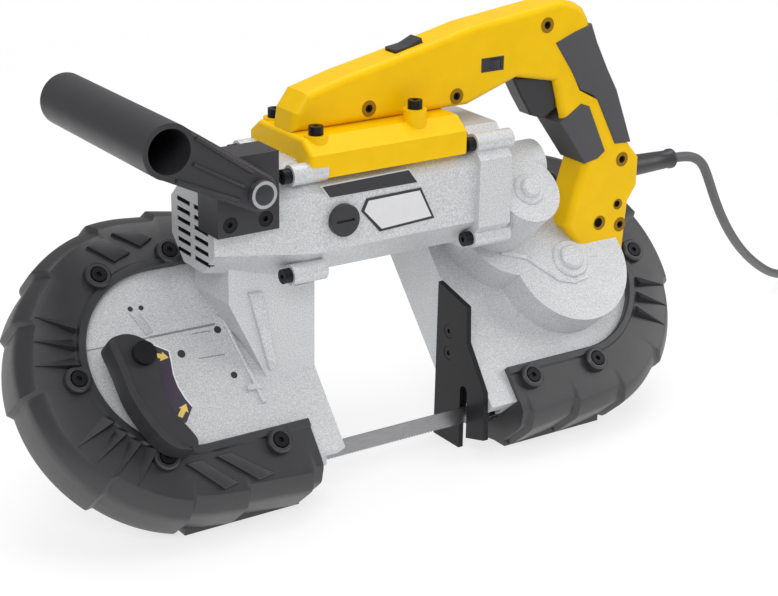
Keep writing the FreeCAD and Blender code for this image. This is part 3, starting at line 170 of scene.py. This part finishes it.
def machined(name, colour, roughness=0.3, stretch=(0.05, 1, 1), metallic=1.0):
    """Turned or ground metal with fine tool lines."""
    f = Finish(name)
    lines = f.noise(0.35, 3, stretch)
    cloud = f.noise(6, 2)
    tint = f.blend(f.ramp(lines, 0.3, 0.7), [c * 0.78 for c in colour], colour)
    tint = f.blend(0.35 * cloud, tint, [c * 0.6 for c in colour])
    return f.surface(Base_Color=tint, Metallic=metallic, Roughness=(roughness - 0.05) + 0.16 * lines,
                     Normal=f.bump(lines, 0.02, 0.5))


FINISHES = {
    "cast_metal": cast_aluminium("cast_aluminium"),
    "steel": machined("turned_steel", (0.56, 0.57, 0.59)),
    "blade_steel": machined("ground_blade", (0.36, 0.36, 0.37), 0.34),
    "black_steel": moulded("black_oxide_steel", (0.008, 0.008, 0.01), 0.4, 0.36, 0.01, 0.02, 0.22),
    "rubber": moulded("black_rubber", (0.015, 0.015, 0.018), 0.5, 0.4, 0.05, 0.04, 0.8),
    "yellow_plastic": moulded("yellow_nylon", (0.90, 0.545, 0.001), 0.5, 0.34, 0.02, 0.0, 0.16),
    "black_plastic": moulded("black_nylon", (0.03, 0.03, 0.034), 0.45, 0.38, 0.03, 0.05),
    "copper": machined("copper_bars", (0.72, 0.36, 0.2), 0.3, (1, 0.05, 0.05)),
    "carbon": moulded("pressed_carbon", (0.02, 0.02, 0.021), 0.3, 0.6, 0.03, 0.04),
    "cord_sheath": moulded("grey_cord_rubber", (0.11, 0.11, 0.115), 0.4, 0.5, 0.02, 0.05),
    "brass": machined("plated_brass", (0.72, 0.55, 0.24), 0.25),
}
node_slots = {p["node"]: p["material_slot"] for p in frame["record"]["subparts"]}
for name, obj in nodes.items():
    obj.data.materials.clear()
    obj.data.materials.append(FINISHES[node_slots[name]])


# Making pieces

def piece(name, mesh, body, slot, finish=None, replaces=(), sharp=35):
    """A new piece from a bmesh, on a CAD body, with its finish."""
    bmesh.ops.recalc_face_normals(mesh, faces=mesh.faces)
    data = bpy.data.meshes.new(name)
    mesh.to_mesh(data)
    mesh.free()
    for polygon in data.polygons:
        polygon.use_smooth = len(polygon.vertices) == 4
    data.set_sharp_from_angle(angle=math.radians(sharp))
    obj = bpy.data.objects.new(name, data)
    bpy.context.scene.collection.objects.link(obj)
    data.materials.append(finish or FINISHES[slot])
    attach(obj, body)
    if replaces:
        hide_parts(*replaces)
    return obj


def add_rings(mesh, rings, closed_path=False):
    """Skins a list of rings of points, capped at both ends unless the path closes on itself."""
    grid = [[mesh.verts.new(p) for p in ring] for ring in rings]
    count = len(grid[0])
    pairs = list(zip(grid, grid[1:]))
    if closed_path:
        pairs.append((grid[-1], grid[0]))
    for first, second in pairs:
        for i in range(count):
            j = (i + 1) % count
            mesh.faces.new((first[i], first[j], second[j], second[i]))
    if not closed_path:
        mesh.faces.new(grid[0])
        mesh.faces.new(grid[-1][::-1])


def add_lathe(mesh, profile, place, steps=40):
    """Turns a profile of (radius, height) points about an axis; place maps (a, b, height)."""
    rings = []
    for i in range(steps):
        turn = 2 * math.pi * i / steps
        rings.append([place(r * math.cos(turn), r * math.sin(turn), h) for r, h in profile])
    add_rings(mesh, rings, closed_path=True)


def add_prism(mesh, outline, low, high, place, rounding=0.0, steps=3):
    """An outline padded from low to high, its upper rim rounded."""
    bottom = [mesh.verts.new(place(a, b, low)) for a, b in outline]
    top = [mesh.verts.new(place(a, b, high)) for a, b in outline]
    count = len(outline)
    mesh.faces.new(bottom[::-1])
    mesh.faces.new(top)
    for i in range(count):
        j = (i + 1) % count
        mesh.faces.new((bottom[i], bottom[j], top[j], top[i]))
    if rounding:
        rims = [e for e in mesh.edges if e.verts[0] in top and e.verts[1] in top]
        bmesh.ops.bevel(mesh, geom=rims, offset=rounding * MM, segments=steps, profile=0.5, affect="EDGES")


# Rubber bumpers: one section swept round each wheel housing, with tread blocks, ridges, bars and soles

SECTION = [(63.0, 24.2), (63.0, 28.6), (64.0, 29.8), (68.2, 29.8), (69.6, 28.2), (76, 28.0), (84, 27.8),
           (92, 27.4), (96.4, 26.6), (98.6, 24.8), (101.5, 21.0), (104.4, 17.2), (105.4, 14.6), (105.8, 8.0),
           (105.8, -2.0), (105.8, -12.0), (105.2, -16.5), (101.5, -22.0), (97.6, -28.0), (95.6, -30.0),
           (90.5, -30.0), (88.2, -28.6), (88.2, 10.0), (88.2, 24.2)]
BLOCK_RISE = 4.2
BLOCK_FRONT = 2.4
TREAD_RADIUS = 105
TREAD_START = 86
TREAD_BLEND = 12
PATH_RADIUS = 100
WEDGE_REACH = (71, 98)
WEDGE_WIDTH = 5.6
WEDGE_BASE = 26.6
WEDGE_CREST = 34.0
WEDGE_TIP = 27.4
BAR_LEVELS = (26, 30.6)
BAR_ROUND = 1.2
SOLE_X = (88, 176)
SOLE_Y = (-58, 12)
SOLE_HEIGHT = 7
SOLE_ROUND = 2


def bumper_path(side, low_end, top_end, step=1.2):
    """Points round a housing: (x, direction in x, direction in v, length so far)."""
    path = []
    straight = HALF_SPAN - low_end
    count = int(straight / step)
    for i in range(count):
        path.append((side * (low_end + straight * i / count), 0.0, -1.0, straight * i / count))
    top_turn = math.pi
    if top_end > HALF_SPAN:
        top_turn = math.pi / 2 + math.acos((top_end - HALF_SPAN) / TREAD_RADIUS)
    arc = top_turn * PATH_RADIUS
    count = int(arc / step)
    for i in range(count + 1):
        turn = top_turn * i / count
        path.append((side * HALF_SPAN, side * math.sin(turn), -math.cos(turn), straight + arc * i / count))
    run = HALF_SPAN - top_end
    if run > 0:
        count = int(run / step)
        for i in range(1, count + 1):
            path.append((side * (HALF_SPAN - run * i / count), 0.0, 1.0, straight + arc + run * i / count))
    return path


def tread_rise(along, radius, steps):
    """How far the tread stands out: each block steps up sharply and falls away to the next."""
    if radius < TREAD_START:
        return 0.0
    before = [s for s in steps if s <= along]
    after = [s for s in steps if s > along]
    if not before or not after:
        return 0.0
    start, end = before[-1], after[0]
    climb = min(1.0, (along - start) / BLOCK_FRONT)
    fall = 1.0 - (along - start) / (end - start)
    return BLOCK_RISE * climb * fall * min(1.0, (radius - TREAD_START) / TREAD_BLEND)


def add_boss(mesh, x, v):
    """The raised ring round a sunk screw head."""
    ring = [(5.4, 27.0), (5.4, 32.6), (6.0, 33.4), (7.6, 33.4), (8.8, 32.2), (9.4, 27.0)]
    add_lathe(mesh, ring, lambda a, b, h: lean(x + a, v + b, h), 36)


def add_wedge(mesh, side, turn):
    """A tapered ridge on the near face, broad at the inner end."""
    inner, outer = WEDGE_REACH
    along = Vector((side * math.sin(turn), -math.cos(turn)))
    across = Vector((-along.y, along.x))
    centre = Vector((side * HALF_SPAN, 0))
    base = centre + along * inner
    tip = centre + along * outer
    corners = [base - across * WEDGE_WIDTH, base + across * WEDGE_WIDTH, tip]
    low = [mesh.verts.new(lean(p.x, p.y, WEDGE_BASE)) for p in corners]
    crest = base - across * WEDGE_WIDTH * side * 0.7
    ridge = [mesh.verts.new(lean(p.x, p.y, w)) for p, w in ((crest, WEDGE_CREST), (tip, WEDGE_TIP))]
    mesh.faces.new((low[0], ridge[0], ridge[1], low[2]))
    mesh.faces.new((low[1], low[2], ridge[1], ridge[0]))
    mesh.faces.new((low[0], low[1], ridge[0]))
    mesh.faces.new((low[2], low[1], low[0]))


def bumper(name, side, low_end, top_end, screws, wedges, steps, bars=()):
    """One bumper; wedges are angles from straight down, steps are places of the blocks along the path."""
    mesh = bmesh.new()
    rings = []
    for x, dx, dv, along in bumper_path(side, low_end, top_end):
        ring = []
        for radius, w in SECTION:
            reach = radius + tread_rise(along, radius, steps)
            ring.append(lean(x + dx * reach, dv * reach, w))
        rings.append(ring)
    add_rings(mesh, rings)
    for x, v in screws:
        add_boss(mesh, x, v)
    for turn in wedges:
        add_wedge(mesh, side, math.radians(turn))
    for outline in bars:
        add_prism(mesh, outline, *BAR_LEVELS, lean, BAR_ROUND)
    low, high = sorted(side * x for x in SOLE_X)
    near, far = SOLE_Y
    sole = [(low, near), (high, near), (high, far), (low, far)]
    add_prism(mesh, sole, 0, SOLE_HEIGHT, lambda a, b, h: Vector((a, b, h)) * MM, SOLE_ROUND)
    piece(name + "_rubber", mesh, "saw", "rubber", replaces=(name,), sharp=24)


SCREW_CIRCLE = 74


def on_circle(side, degrees):
    turn = math.radians(degrees)
    return (side * HALF_SPAN + SCREW_CIRCLE * math.cos(turn), SCREW_CIRCLE * math.sin(turn))


bumper("front_bumper", -1, 84, 117, [on_circle(-1, a) for a in (76, 120, 182, 243)] + [(-111, -SCREW_CIRCLE)],
       (36, 45, 54, 63, 98, 108, 118), (6, 56, 96, 152, 227, 275, 312, 362, 405, 428),
       ([(-180, -73), (-169, -73), (-149, -94), (-160, -95.5)],
        [(-158, -73), (-147, -73), (-122, -94), (-134, -95.5)],
        [(-195, 86), (-181, 90), (-167, 76), (-180, 72)],
        [(-175, 92), (-161, 93), (-148, 83.5), (-158, 79)]))
bumper("rear_bumper", 1, 84, 165, [on_circle(1, a) for a in (70, 1, 271)] + [(100, -SCREW_CIRCLE)],
       (52, 62, 72, 112, 122, 132), (6, 48, 92, 140, 206, 262, 310, 352, 376))


# Pieces with fine shapes of their own

def smooth(points, steps=6):
    """A closed smooth line through points."""
    line = []
    count = len(points)
    for i in range(count):
        a, b, c, e = (Vector(points[(i + k) % count]) for k in (-1, 0, 1, 2))
        for k in range(steps):
            t = k / steps
            line.append(0.5 * (2 * b + (c - a) * t + (2 * a - 5 * b + 4 * c - e) * t * t
                               + (3 * b - a - 3 * c + e) * t ** 3))
    return line


def plates(name, outlines, low, high, slot, finish=None, body="saw", rounding=0.0, place=lean):
    """Flat outlines padded from low to high, all in one piece."""
    mesh = bmesh.new()
    for outline in outlines:
        add_prism(mesh, outline, low, high, place, rounding, 2)
    return piece(name, mesh, body, slot, finish)


def bar(start, end, width):
    """The outline of a straight bar between two points."""
    a, b = Vector(start), Vector(end)
    along = (b - a).normalized()
    across = Vector((-along.y, along.x)) * width / 2
    return [a - across, b - across, b + across, a + across]


def disc(x, v, radius, steps=24):
    return [(x + radius * math.cos(2 * math.pi * i / steps), v + radius * math.sin(2 * math.pi * i / steps))
            for i in range(steps)]


def add_block(mesh, outline, low, high, rounding, place, steps=4):
    """An outline padded from low to high with both rims rounded."""
    count = len(outline)
    flat = [Vector(p) for p in outline]
    area = sum(flat[i - 1].cross(flat[i]) for i in range(count))
    inward = []
    for i in range(count):
        first = (flat[i] - flat[i - 1]).normalized()
        second = (flat[(i + 1) % count] - flat[i]).normalized()
        middle = (first + second).normalized()
        normal = Vector((-middle.y, middle.x)) if area > 0 else Vector((middle.y, -middle.x))
        inward.append(normal / max(0.5, middle.dot(first)))
    quarter = [k * math.pi / 2 / steps for k in range(steps + 1)]
    levels = [(rounding * (1 - math.sin(q)), low + rounding * (1 - math.cos(q))) for q in quarter]
    levels += [(rounding * (1 - math.sin(q)), high - rounding * (1 - math.cos(q))) for q in reversed(quarter)]
    rings = []
    for inset, level in levels:
        rings.append([place(*(p + n * inset), level) for p, n in zip(flat, inward)])
    add_rings(mesh, rings)


# Tension lever: a curved grip with a tall outer rim, over its pivot
LEVER_OUTER = [(-181, -70), (-190.5, -67.5), (-198.4, -61), (-204.7, -48.7), (-208.9, -35.6), (-211, -24.6),
               (-211.6, -11), (-212.2, -1.6), (-213, 5.4), (-212.6, 11.6), (-207, 15.4)]
LEVER_INNER = [(-197, 15.8), (-188.6, 11.6), (-183, 5), (-182, -4), (-184.4, -15.6), (-186.2, -27.5),
               (-183.2, -42.3), (-176.6, -57), (-174.6, -63.4), (-176.4, -68.2)]
RIM_LINE = [(-184, -67.6), (-190, -64), (-194.6, -58), (-200.2, -46.4), (-204.2, -34.4), (-206.2, -24),
            (-206.8, -11), (-207.2, -1.8), (-207.6, 5), (-208, 11)]
LEVER_LEVELS = (34.5, 46.6)
LEVER_ROUND = 2.0
RIM_LEVELS = (44, 52)
RIM_ROUND = 1.3
lever_mesh = bmesh.new()
add_prism(lever_mesh, smooth(LEVER_OUTER + LEVER_INNER), *LEVER_LEVELS, lean, LEVER_ROUND)
add_prism(lever_mesh, smooth(LEVER_OUTER[:-1] + RIM_LINE[::-1], 3), *RIM_LEVELS, lean, RIM_ROUND)
piece("tension_lever_grip", lever_mesh, "lever", "black_plastic", replaces=("tension_lever",), sharp=40)

# Label beside the lever: a dark sector with a pale edge and two plain arrows
LABEL_EDGE = [(-162.0, 5.1), (-163.0, -2.6), (-164.6, -11.0), (-164.4, -19.7), (-162.4, -28.9),
              (-159.6, -35.6)]
plates("lever_label", [[(-171.4, 11.8), *LABEL_EDGE, (-167.3, -44.8), (-179, -46), (-184, -30), (-184, -10),
                        (-180, 4)]],
       PLATE_FACE, PLATE_FACE + 0.4, "black_plastic",
       moulded("label_ink", (0.055, 0.042, 0.07), 0.3, 0.4, 0.01))
label_border = list(zip(LABEL_EDGE, LABEL_EDGE[1:])) + [((-171.4, 11.8), LABEL_EDGE[0])]
plates("label_border", [bar(a, b, 1.0) for a, b in label_border], PLATE_FACE, PLATE_FACE + 0.45,
       "black_plastic", moulded("label_pale", (0.84, 0.83, 0.85), 0.3, 0.4, 0.01))
plates("label_arrows", [[(-172.2, 5.8), (-167.6, 4.1), (-167.1, 5.6), (-164.0, 0.7), (-170.7, -0.5),
                         (-169.7, 1.3), (-173.2, 2.8)],
                        [(-172.1, -39.4), (-167.9, -35.1), (-169.4, -34.4), (-163.3, -32.7), (-163.8, -38.9),
                         (-165.2, -37.5), (-169.2, -41.5)]],
       PLATE_FACE + 0.4, PLATE_FACE + 0.55, "yellow_plastic",
       moulded("label_yellow", (0.86, 0.62, 0.14), 0.3, 0.4, 0.01))

# Front plate: the rib along the housing's edge with its lugs, a step line, a short channel and drilled holes
plates("plate_rib", [bar((-121.5, 61.4), (-108.9, -45), 3.0)], PLATE_FACE, PLATE_FACE + 2.4, "cast_metal",
       rounding=0.8)
plates("plate_lugs", [bar((x - 5, v + 0.8), (x + 5, v - 0.4), 4.4)
                      for x, v in ((-117.8, 57.6), (-116.4, 37.6), (-115.6, 23.8), (-112.6, -32.8))],
       PLATE_FACE, PLATE_FACE + 3.4, "cast_metal", rounding=1.2)
# Painted shade: the step line and the fine grooves are thin bars of a darkened copy of the casting
shadow_metal = cast_aluminium("cast_aluminium_painted_shade", 0.42)
plates("plate_shade_lines", [bar((-218.5, 17.3), (-172, 17.2), 0.8), bar((-172, 17.2), (-122.9, 16.7), 1.5),
                       bar((-142, 13.2), (-128, 12.8), 0.6), bar((-143, -4.4), (-124, -5.6), 0.6)],
       PLATE_FACE, PLATE_FACE + 0.12, "cast_metal", shadow_metal)
# Painted shade: the drilled holes are dark discs that stand in for the shade inside them
plates("plate_hole_shade", [disc(-122.6, 12.4, 2.6), disc(-154.0, 1.4, 2.8), disc(-122.6, -21, 2.4),
                       disc(-178.2, 39.2, 1.8), disc(-170.5, 38.5, 1.8)],
       PLATE_FACE, PLATE_FACE + 0.16, "cast_metal",
       moulded("drilled_hole_shade", (0.03, 0.03, 0.032), 0.4, 0.6, 0.01))
plates("plate_channel", [bar((-176.8, 37.2), (-170.9, 19.8), 6.4)], PLATE_FACE, PLATE_FACE + 0.9,
       "cast_metal", cast_aluminium("cast_aluminium_channel", 0.86), rounding=0.6)

# Rear gear cover: bosses over the shaft ends and the ridge between the two rounds
plates("cover_ridge", [bar(a, b, 4.2) for a, b in (((101, 16), (122, 8)), ((121, 8.6), (133.5, -5)),
                                                   ((133, -4), (142.5, -14.4)),
                                                   ((141.6, -13.8), (154.6, -17.8)),
                                                   ((153.6, -17.8), (166, -15.6)))],
       50, 51.6, "cast_metal", rounding=1.0)
boss_mesh = bmesh.new()
for x, v, w, radius in ((HALF_SPAN, 0, 50, 15), (106.4, 40.7, 102.4, 12)):
    profile = [(0.01, -0.5), (radius, -0.5), (radius, 0.6), (radius - 1.4, 2.0), (radius * 0.66, 2.2),
               (radius * 0.62, 4.4), (radius * 0.52, 5.6), (0.01, 5.6)]
    add_lathe(boss_mesh, profile, lambda a, b, h, x=x, v=v, w=w: lean(x + a, v + b, w + h))
piece("cover_bosses", boss_mesh, "saw", "cast_metal")

# Motor: blank strip and blank badge on its near side
NEAR_SIDE = 40
plates("motor_strip_rim", [[(-71.5, 25.6), (-1.6, 26.6), (6.6, 15.6), (-65, 15.9)]],
       NEAR_SIDE, NEAR_SIDE + 0.5, "cast_metal",
       moulded("badge_pale", (0.62, 0.62, 0.63), 0.3, 0.4, 0.01), place=upright)
plates("motor_strip", [[(-70, 24.8), (-2.2, 25.8), (4.8, 16.4), (-64, 16.7)]],
       NEAR_SIDE + 0.5, NEAR_SIDE + 0.8, "black_plastic", place=upright)
BADGE = [(-39.5, 3.2), (-35.4, 11.3), (8.2, 11.9), (19.8, -11.3), (-24.6, -13.5)]
plates("motor_badge_rim", [BADGE], NEAR_SIDE, NEAR_SIDE + 0.6, "black_plastic", place=upright)
plates("motor_badge", [[(-37.3, 3.0), (-34.0, 9.6), (7.0, 10.2), (17.0, -9.5), (-23.4, -11.6)]],
       NEAR_SIDE + 0.6, NEAR_SIDE + 0.9, "cast_metal",
       moulded("badge_white", (0.72, 0.72, 0.73), 0.3, 0.36, 0.01), place=upright)

# Pillar: the raised channel down its near face
PILLAR_SIDE = 18
plates("pillar_channel", [[(-114, -46.8), (-103.6, -47.8), (-92.6, -103), (-98.6, -105)]],
       PILLAR_SIDE - 0.2, PILLAR_SIDE + 2.4, "cast_metal", rounding=1.0, place=upright)

# End cap: a painted shade sheet behind its slots, for their dark depth
deep_shade = moulded("deep_shade", (0.005, 0.004, 0.003), 0.4, 0.6, 0.01, 0.0, 0.05)
CAP_FRONT = -144
SLOT_COUNT = 6
SLOT_PITCH = 7
SLOT_LOW = -23
SLOT_HEIGHT = 3.2
slot_shade_outlines = []
for i in range(SLOT_COUNT):
    low = SLOT_LOW + i * SLOT_PITCH
    high = low + SLOT_HEIGHT
    for start, end in ((-21, -2), (3, 21)):
        slot_shade_outlines.append([(start, low), (end, low), (end, high), (start, high)])
plates("vent_painted_shade", slot_shade_outlines, 0.7, 1.1, "black_plastic", deep_shade,
       place=lambda a, b, h: Vector((CAP_FRONT + h, MOTOR_Y + a, MOTOR_Z + b)) * MM)

# Handle: soft grip pads, the yellow crown above them, screw recesses and the dial's dark window
HANDLE_SIDE = 14
PAD_SIDE = HANDLE_SIDE + 1.2
PALM_PAD = [(140, 90.4), (157, 96.6), (172.2, 100.8), (178, 87), (189, 66), (199, 49), (215.4, 7.4), (200, 8),
            (181, 44), (177, 47.5), (164.4, 53.5), (155, 69)]
FINGER_PAD = [(147, 31), (166, 43), (174, 40), (191, 4), (184, -1), (172, -3)]
grip_mesh = bmesh.new()
for outline in (PALM_PAD, FINGER_PAD):
    add_block(grip_mesh, outline, -PAD_SIDE, PAD_SIDE, 1.6, upright)
soft_grip = moulded("soft_grip_rubber", (0.07, 0.07, 0.075), 0.7, 0.6, 0.06, 0.05)
piece("grip_pads", grip_mesh, "saw", "rubber", soft_grip, replaces=("rear_grip",), sharp=30)
CROWN = [(134.4, 118.4), (149, 119.2), (158, 117), (165.4, 112.4), (170, 105), (174.6, 94.4), (160, 84),
         (143.5, 88), (138.6, 105)]
SHELL_ROUND = 5
SHELL_INSET = 0.02
crown_mesh = bmesh.new()
add_block(crown_mesh, CROWN, SHELL_INSET - HANDLE_SIDE, HANDLE_SIDE - SHELL_INSET, SHELL_ROUND, upright, 6)
piece("handle_crown", crown_mesh, "saw", "yellow_plastic", sharp=50)
# Painted shade: the screw recesses are dark amber rings and discs for the shaded walls round the sunk screws,
# with painted shadow discs in two of them
recess_shade = moulded("yellow_recess_painted_shade", (0.30, 0.15, 0.002), 0.5, 0.5, 0.02, 0.0, 0.15)
recess_mesh = bmesh.new()
for x, z in ((-17, 64), (55, 63), (132, 104), (208, -5), (209.5, -56)):
    ring = [(2.8, 0.02), (5.6, 0.02), (5.6, 0.25), (2.8, 0.25)]
    add_lathe(recess_mesh, ring, lambda a, b, h, x=x, z=z: upright(x + a, z + b, HANDLE_SIDE + h), 28)
for x, z, radius in ((189.5, -51.4, 5.6), (206.4, -39.6, 4.2)):
    add_prism(recess_mesh, disc(x, z, radius), HANDLE_SIDE, HANDLE_SIDE + 0.2, upright)
piece("handle_recess_shade", recess_mesh, "saw", "yellow_plastic", recess_shade)
plates("recess_shadows", [disc(188.3, -51.0, 3.6), disc(205.6, -39.2, 2.5)],
       HANDLE_SIDE + 0.2, HANDLE_SIDE + 0.3, "black_plastic", deep_shade, place=upright)
plates("dial_window", [[(75.4, 76.9), (94.6, 76.9), (94.6, 78.7), (75.4, 78.7)],
                       [(75.4, 85.3), (94.6, 85.3), (94.6, 86.8), (75.4, 86.8)],
                       [(75.4, 78.7), (81.9, 78.7), (81.9, 85.3), (75.4, 85.3)],
                       [(92.1, 78.7), (94.6, 78.7), (94.6, 85.3), (92.1, 85.3)]],
       HANDLE_SIDE - 0.2, HANDLE_SIDE + 0.25, "black_plastic", place=upright)

# Front handle: long ribs on its arm, and the dark cap in the pivot bolt's bright rim
ARM_FACE = -71.9
PIVOT_X = -124
PIVOT_Z = 232
TUBE_X = -187
TUBE_Z = 268
arm_turn = math.atan2(TUBE_Z - PIVOT_Z, TUBE_X - PIVOT_X)


def on_arm(along, across, h):
    """A place on the arm's near face, measured from the pivot toward the tube."""
    x = PIVOT_X + along * math.cos(arm_turn) - across * math.sin(arm_turn)
    z = PIVOT_Z + along * math.sin(arm_turn) + across * math.cos(arm_turn)
    return Vector((x, ARM_FACE - h, z)) * MM


plates("arm_ribs", [bar((12, 9.6), (60, 14.4), 2.6), bar((13, 0.6), (54, 0.8), 2.4),
                    bar((12, -9.6), (60, -14.4), 2.6)],
       -0.4, 2.0, "black_plastic", body="bar_handle", rounding=0.8, place=on_arm)
plates("pivot_cap", [disc(0, 0, 6.8, 32)], 5.0, 5.5, "black_plastic", place=on_arm, rounding=0.2)

# Strain relief: a thick sleeve with a lip at its end
RELIEF_X = 226
RELIEF_Z = 182
relief_mesh = bmesh.new()
add_lathe(relief_mesh, [(3.9, 0), (8.0, 0), (7.9, 10), (7.4, 24), (6.8, 39), (7.6, 40.5), (7.6, 43.4),
                        (6.6, 44), (3.9, 44)],
          lambda a, b, h: Vector((RELIEF_X + h, MOTOR_Y + a, RELIEF_Z + b)) * MM, 32)
piece("strain_relief_sleeve", relief_mesh, "saw", "rubber", replaces=("strain_relief",))


# Power cord: free route, then eight turns of a coil and the plug

CORD_DIAMETER = 7.6
COIL_RADIUS = 44
CORD_ROUTE = [(270, -18, 182), (284, -17.8, 181.6), (296.4, -16.1, 178), (307.1, -12.6, 171.5),
              (316.5, -8.2, 162.1), (327.1, -3, 148.5), (340.4, 3.5, 130.9), (358.5, 12.3, 110),
              (381.6, 23.6, 87.7), (409.2, 37.1, 65.4), (441.6, 52.9, 43.8), (475.2, 69.3, 24.7),
              (505.4, 84, 11.8), (529, 95.5, 5.5), (548.7, 105.1, 3.8)]
last, before = Vector(CORD_ROUTE[-1]), Vector(CORD_ROUTE[-2])
lead_in = Vector((last.x - before.x, last.y - before.y, 0)).normalized()
outer_turn = COIL_RADIUS + 1.5 * CORD_DIAMETER
coil_reach = math.sqrt((COIL_RADIUS + 2 * CORD_DIAMETER + 3) ** 2 - outer_turn ** 2)
coil_x = last.x + lead_in.x * coil_reach + lead_in.y * outer_turn
coil_y = last.y + lead_in.y * coil_reach - lead_in.x * outer_turn
first_turn = math.atan2(lead_in.x, -lead_in.y)
TURN_POINTS = 16
TURNS = ((1.5, 0), (0.5, 0), (-0.5, 0), (-1.5, 0), (-1.5, 1), (-0.5, 1), (0.5, 1), (1.5, 1))
coil_points = []
steps = int(TURN_POINTS * (len(TURNS) - 1 + (first_turn % (2 * math.pi)) / (2 * math.pi)))
for i in range(steps + 1):
    share = i / TURN_POINTS
    k = min(int(share), len(TURNS) - 1)
    after = min(k + 1, len(TURNS) - 1)
    slip = max(0.0, (share - k - 0.7) / 0.3)
    lane = TURNS[k][0] + (TURNS[after][0] - TURNS[k][0]) * slip
    layer = TURNS[k][1] + (TURNS[after][1] - TURNS[k][1]) * slip
    radius = COIL_RADIUS + lane * CORD_DIAMETER
    turn = first_turn - 2 * math.pi * share
    coil_points.append((coil_x + radius * math.cos(turn), coil_y + radius * math.sin(turn),
                        CORD_DIAMETER * (0.5 + layer)))
TAIL_LENGTH = 50
TAIL_INSET = 0.8
tail_x = coil_x + outer_turn - TAIL_INSET
plug_y = coil_y - TAIL_LENGTH
coil_points += [(tail_x, coil_y - 14, 12), (tail_x, coil_y - 28, 14.5), (tail_x, plug_y + 8, 16.6),
                (tail_x, plug_y - 3, 17)]
curve = bpy.data.curves.new("power_cord_line", "CURVE")
curve.dimensions = "3D"
curve.bevel_depth = CORD_DIAMETER / 2 * MM
curve.bevel_resolution = 5
curve.use_fill_caps = True
curve.resolution_u = 10
spline = curve.splines.new("NURBS")
points = CORD_ROUTE + coil_points
spline.points.add(len(points) - 1)
for target, point in zip(spline.points, points):
    target.co = (*(Vector(point) * MM), 1)
spline.order_u = 3
spline.use_endpoint_u = True
cord = bpy.data.objects.new("power_cord_line", curve)
bpy.context.scene.collection.objects.link(cord)
curve.materials.append(FINISHES["cord_sheath"])
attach(cord, "saw")
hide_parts("power_cord", "cord_coil")


# Studio: pale floor, soft light and the photograph's viewing angle

def studio_floor():
    """White floor that takes the shadow and fades into the white background."""
    f = Finish("studio_floor")
    cloud = f.noise(300, 2)
    white = f.blend(cloud, (0.29, 0.29, 0.293), (0.31, 0.31, 0.313))
    f.surface(Base_Color=white, Roughness=0.5, Specular_IOR_Level=0.2, Emission_Color=(1, 1, 1, 1),
              Emission_Strength=0.72)
    reach = f.node("VectorMath", {"operation": "LENGTH"}, {0: f.place}, output=1)
    fade_start, fade_end = 0.55, 1.5
    fade = {"Value": reach, "From Min": fade_start, "From Max": fade_end, "To Min": 1.0, "To Max": 0.0}
    share = f.node("MapRange", None, fade)
    clear = f.node("BsdfTransparent")
    mixed = f.node("MixShader", None, {0: share, 1: clear, 2: Value(f, f.shader.outputs[0])})
    f.feed(f.tree.nodes["Material Output"].inputs["Surface"], mixed)
    mesh = bmesh.new()
    bmesh.ops.create_grid(mesh, x_segments=8, y_segments=8, size=2)
    data = bpy.data.meshes.new("studio_floor")
    mesh.to_mesh(data)
    mesh.free()
    data.materials.append(f.material)
    floor = bpy.data.objects.new("studio_floor", data)
    floor.location.z = -0.0006
    bpy.context.scene.collection.objects.link(floor)


def soft_box(name, place, aim, size, power):
    data = bpy.data.lights.new(name, "AREA")
    data.shape = "RECTANGLE"
    data.size, data.size_y = size
    data.energy = power
    lamp = bpy.data.objects.new(name, data)
    lamp.location = place
    lamp.rotation_euler = (Vector(aim) - Vector(place)).to_track_quat("-Z", "Y").to_euler()
    bpy.context.scene.collection.objects.link(lamp)


def studio_world():
    """White to the camera, a softer grey as light."""
    world = bpy.data.worlds.new("studio_world")
    world.use_nodes = True
    tree = world.node_tree
    light = tree.nodes["Background"]
    light.inputs["Color"].default_value = (1, 1, 1, 1)
    light.inputs["Strength"].default_value = 0.42
    white = tree.nodes.new("ShaderNodeBackground")
    white.inputs["Color"].default_value = (1, 1, 1, 1)
    rays = tree.nodes.new("ShaderNodeLightPath")
    mix = tree.nodes.new("ShaderNodeMixShader")
    tree.links.new(rays.outputs["Is Camera Ray"], mix.inputs["Fac"])
    tree.links.new(light.outputs["Background"], mix.inputs[1])
    tree.links.new(white.outputs["Background"], mix.inputs[2])
    tree.links.new(mix.outputs["Shader"], tree.nodes["World Output"].inputs["Surface"])
    bpy.context.scene.world = world


def studio():
    studio_floor()
    middle = (0, 0, 0.16)
    soft_box("key_soft_box", (-1.3, -1.5, 1.7), middle, (1.4, 1.0), 24)
    soft_box("top_soft_box", (0.2, 0.2, 2.0), middle, (1.8, 1.4), 22)
    soft_box("side_soft_box", (1.7, -0.9, 0.9), middle, (1.0, 1.2), 9)
    studio_world()


def camera():
    """The photograph's viewing angle, from a fit to the wheel plates and the blade."""
    azimuth, elevation, roll = (math.radians(a) for a in (-34.11, 20.45, 0.87))
    back = Vector((math.sin(azimuth) * math.cos(elevation), -math.cos(azimuth) * math.cos(elevation),
                   math.sin(elevation)))
    right = Vector((math.cos(azimuth), math.sin(azimuth), 0))
    up = back.cross(right)
    right, up = right * math.cos(roll) + up * math.sin(roll), up * math.cos(roll) - right * math.sin(roll)
    data = bpy.data.cameras.new("photo_camera")
    data.sensor_width = 36
    data.lens = 88.52
    data.clip_end = 50
    obj = bpy.data.objects.new("photo_camera", data)
    turn = Matrix((right, up, back)).transposed().to_4x4()
    obj.matrix_world = Matrix.Translation(Vector((-699.2, -1066.5, 590.5)) * MM) @ turn
    bpy.context.scene.collection.objects.link(obj)
    bpy.context.scene.camera = obj


studio()
camera()
bpy.context.scene.view_settings.view_transform = "Standard"
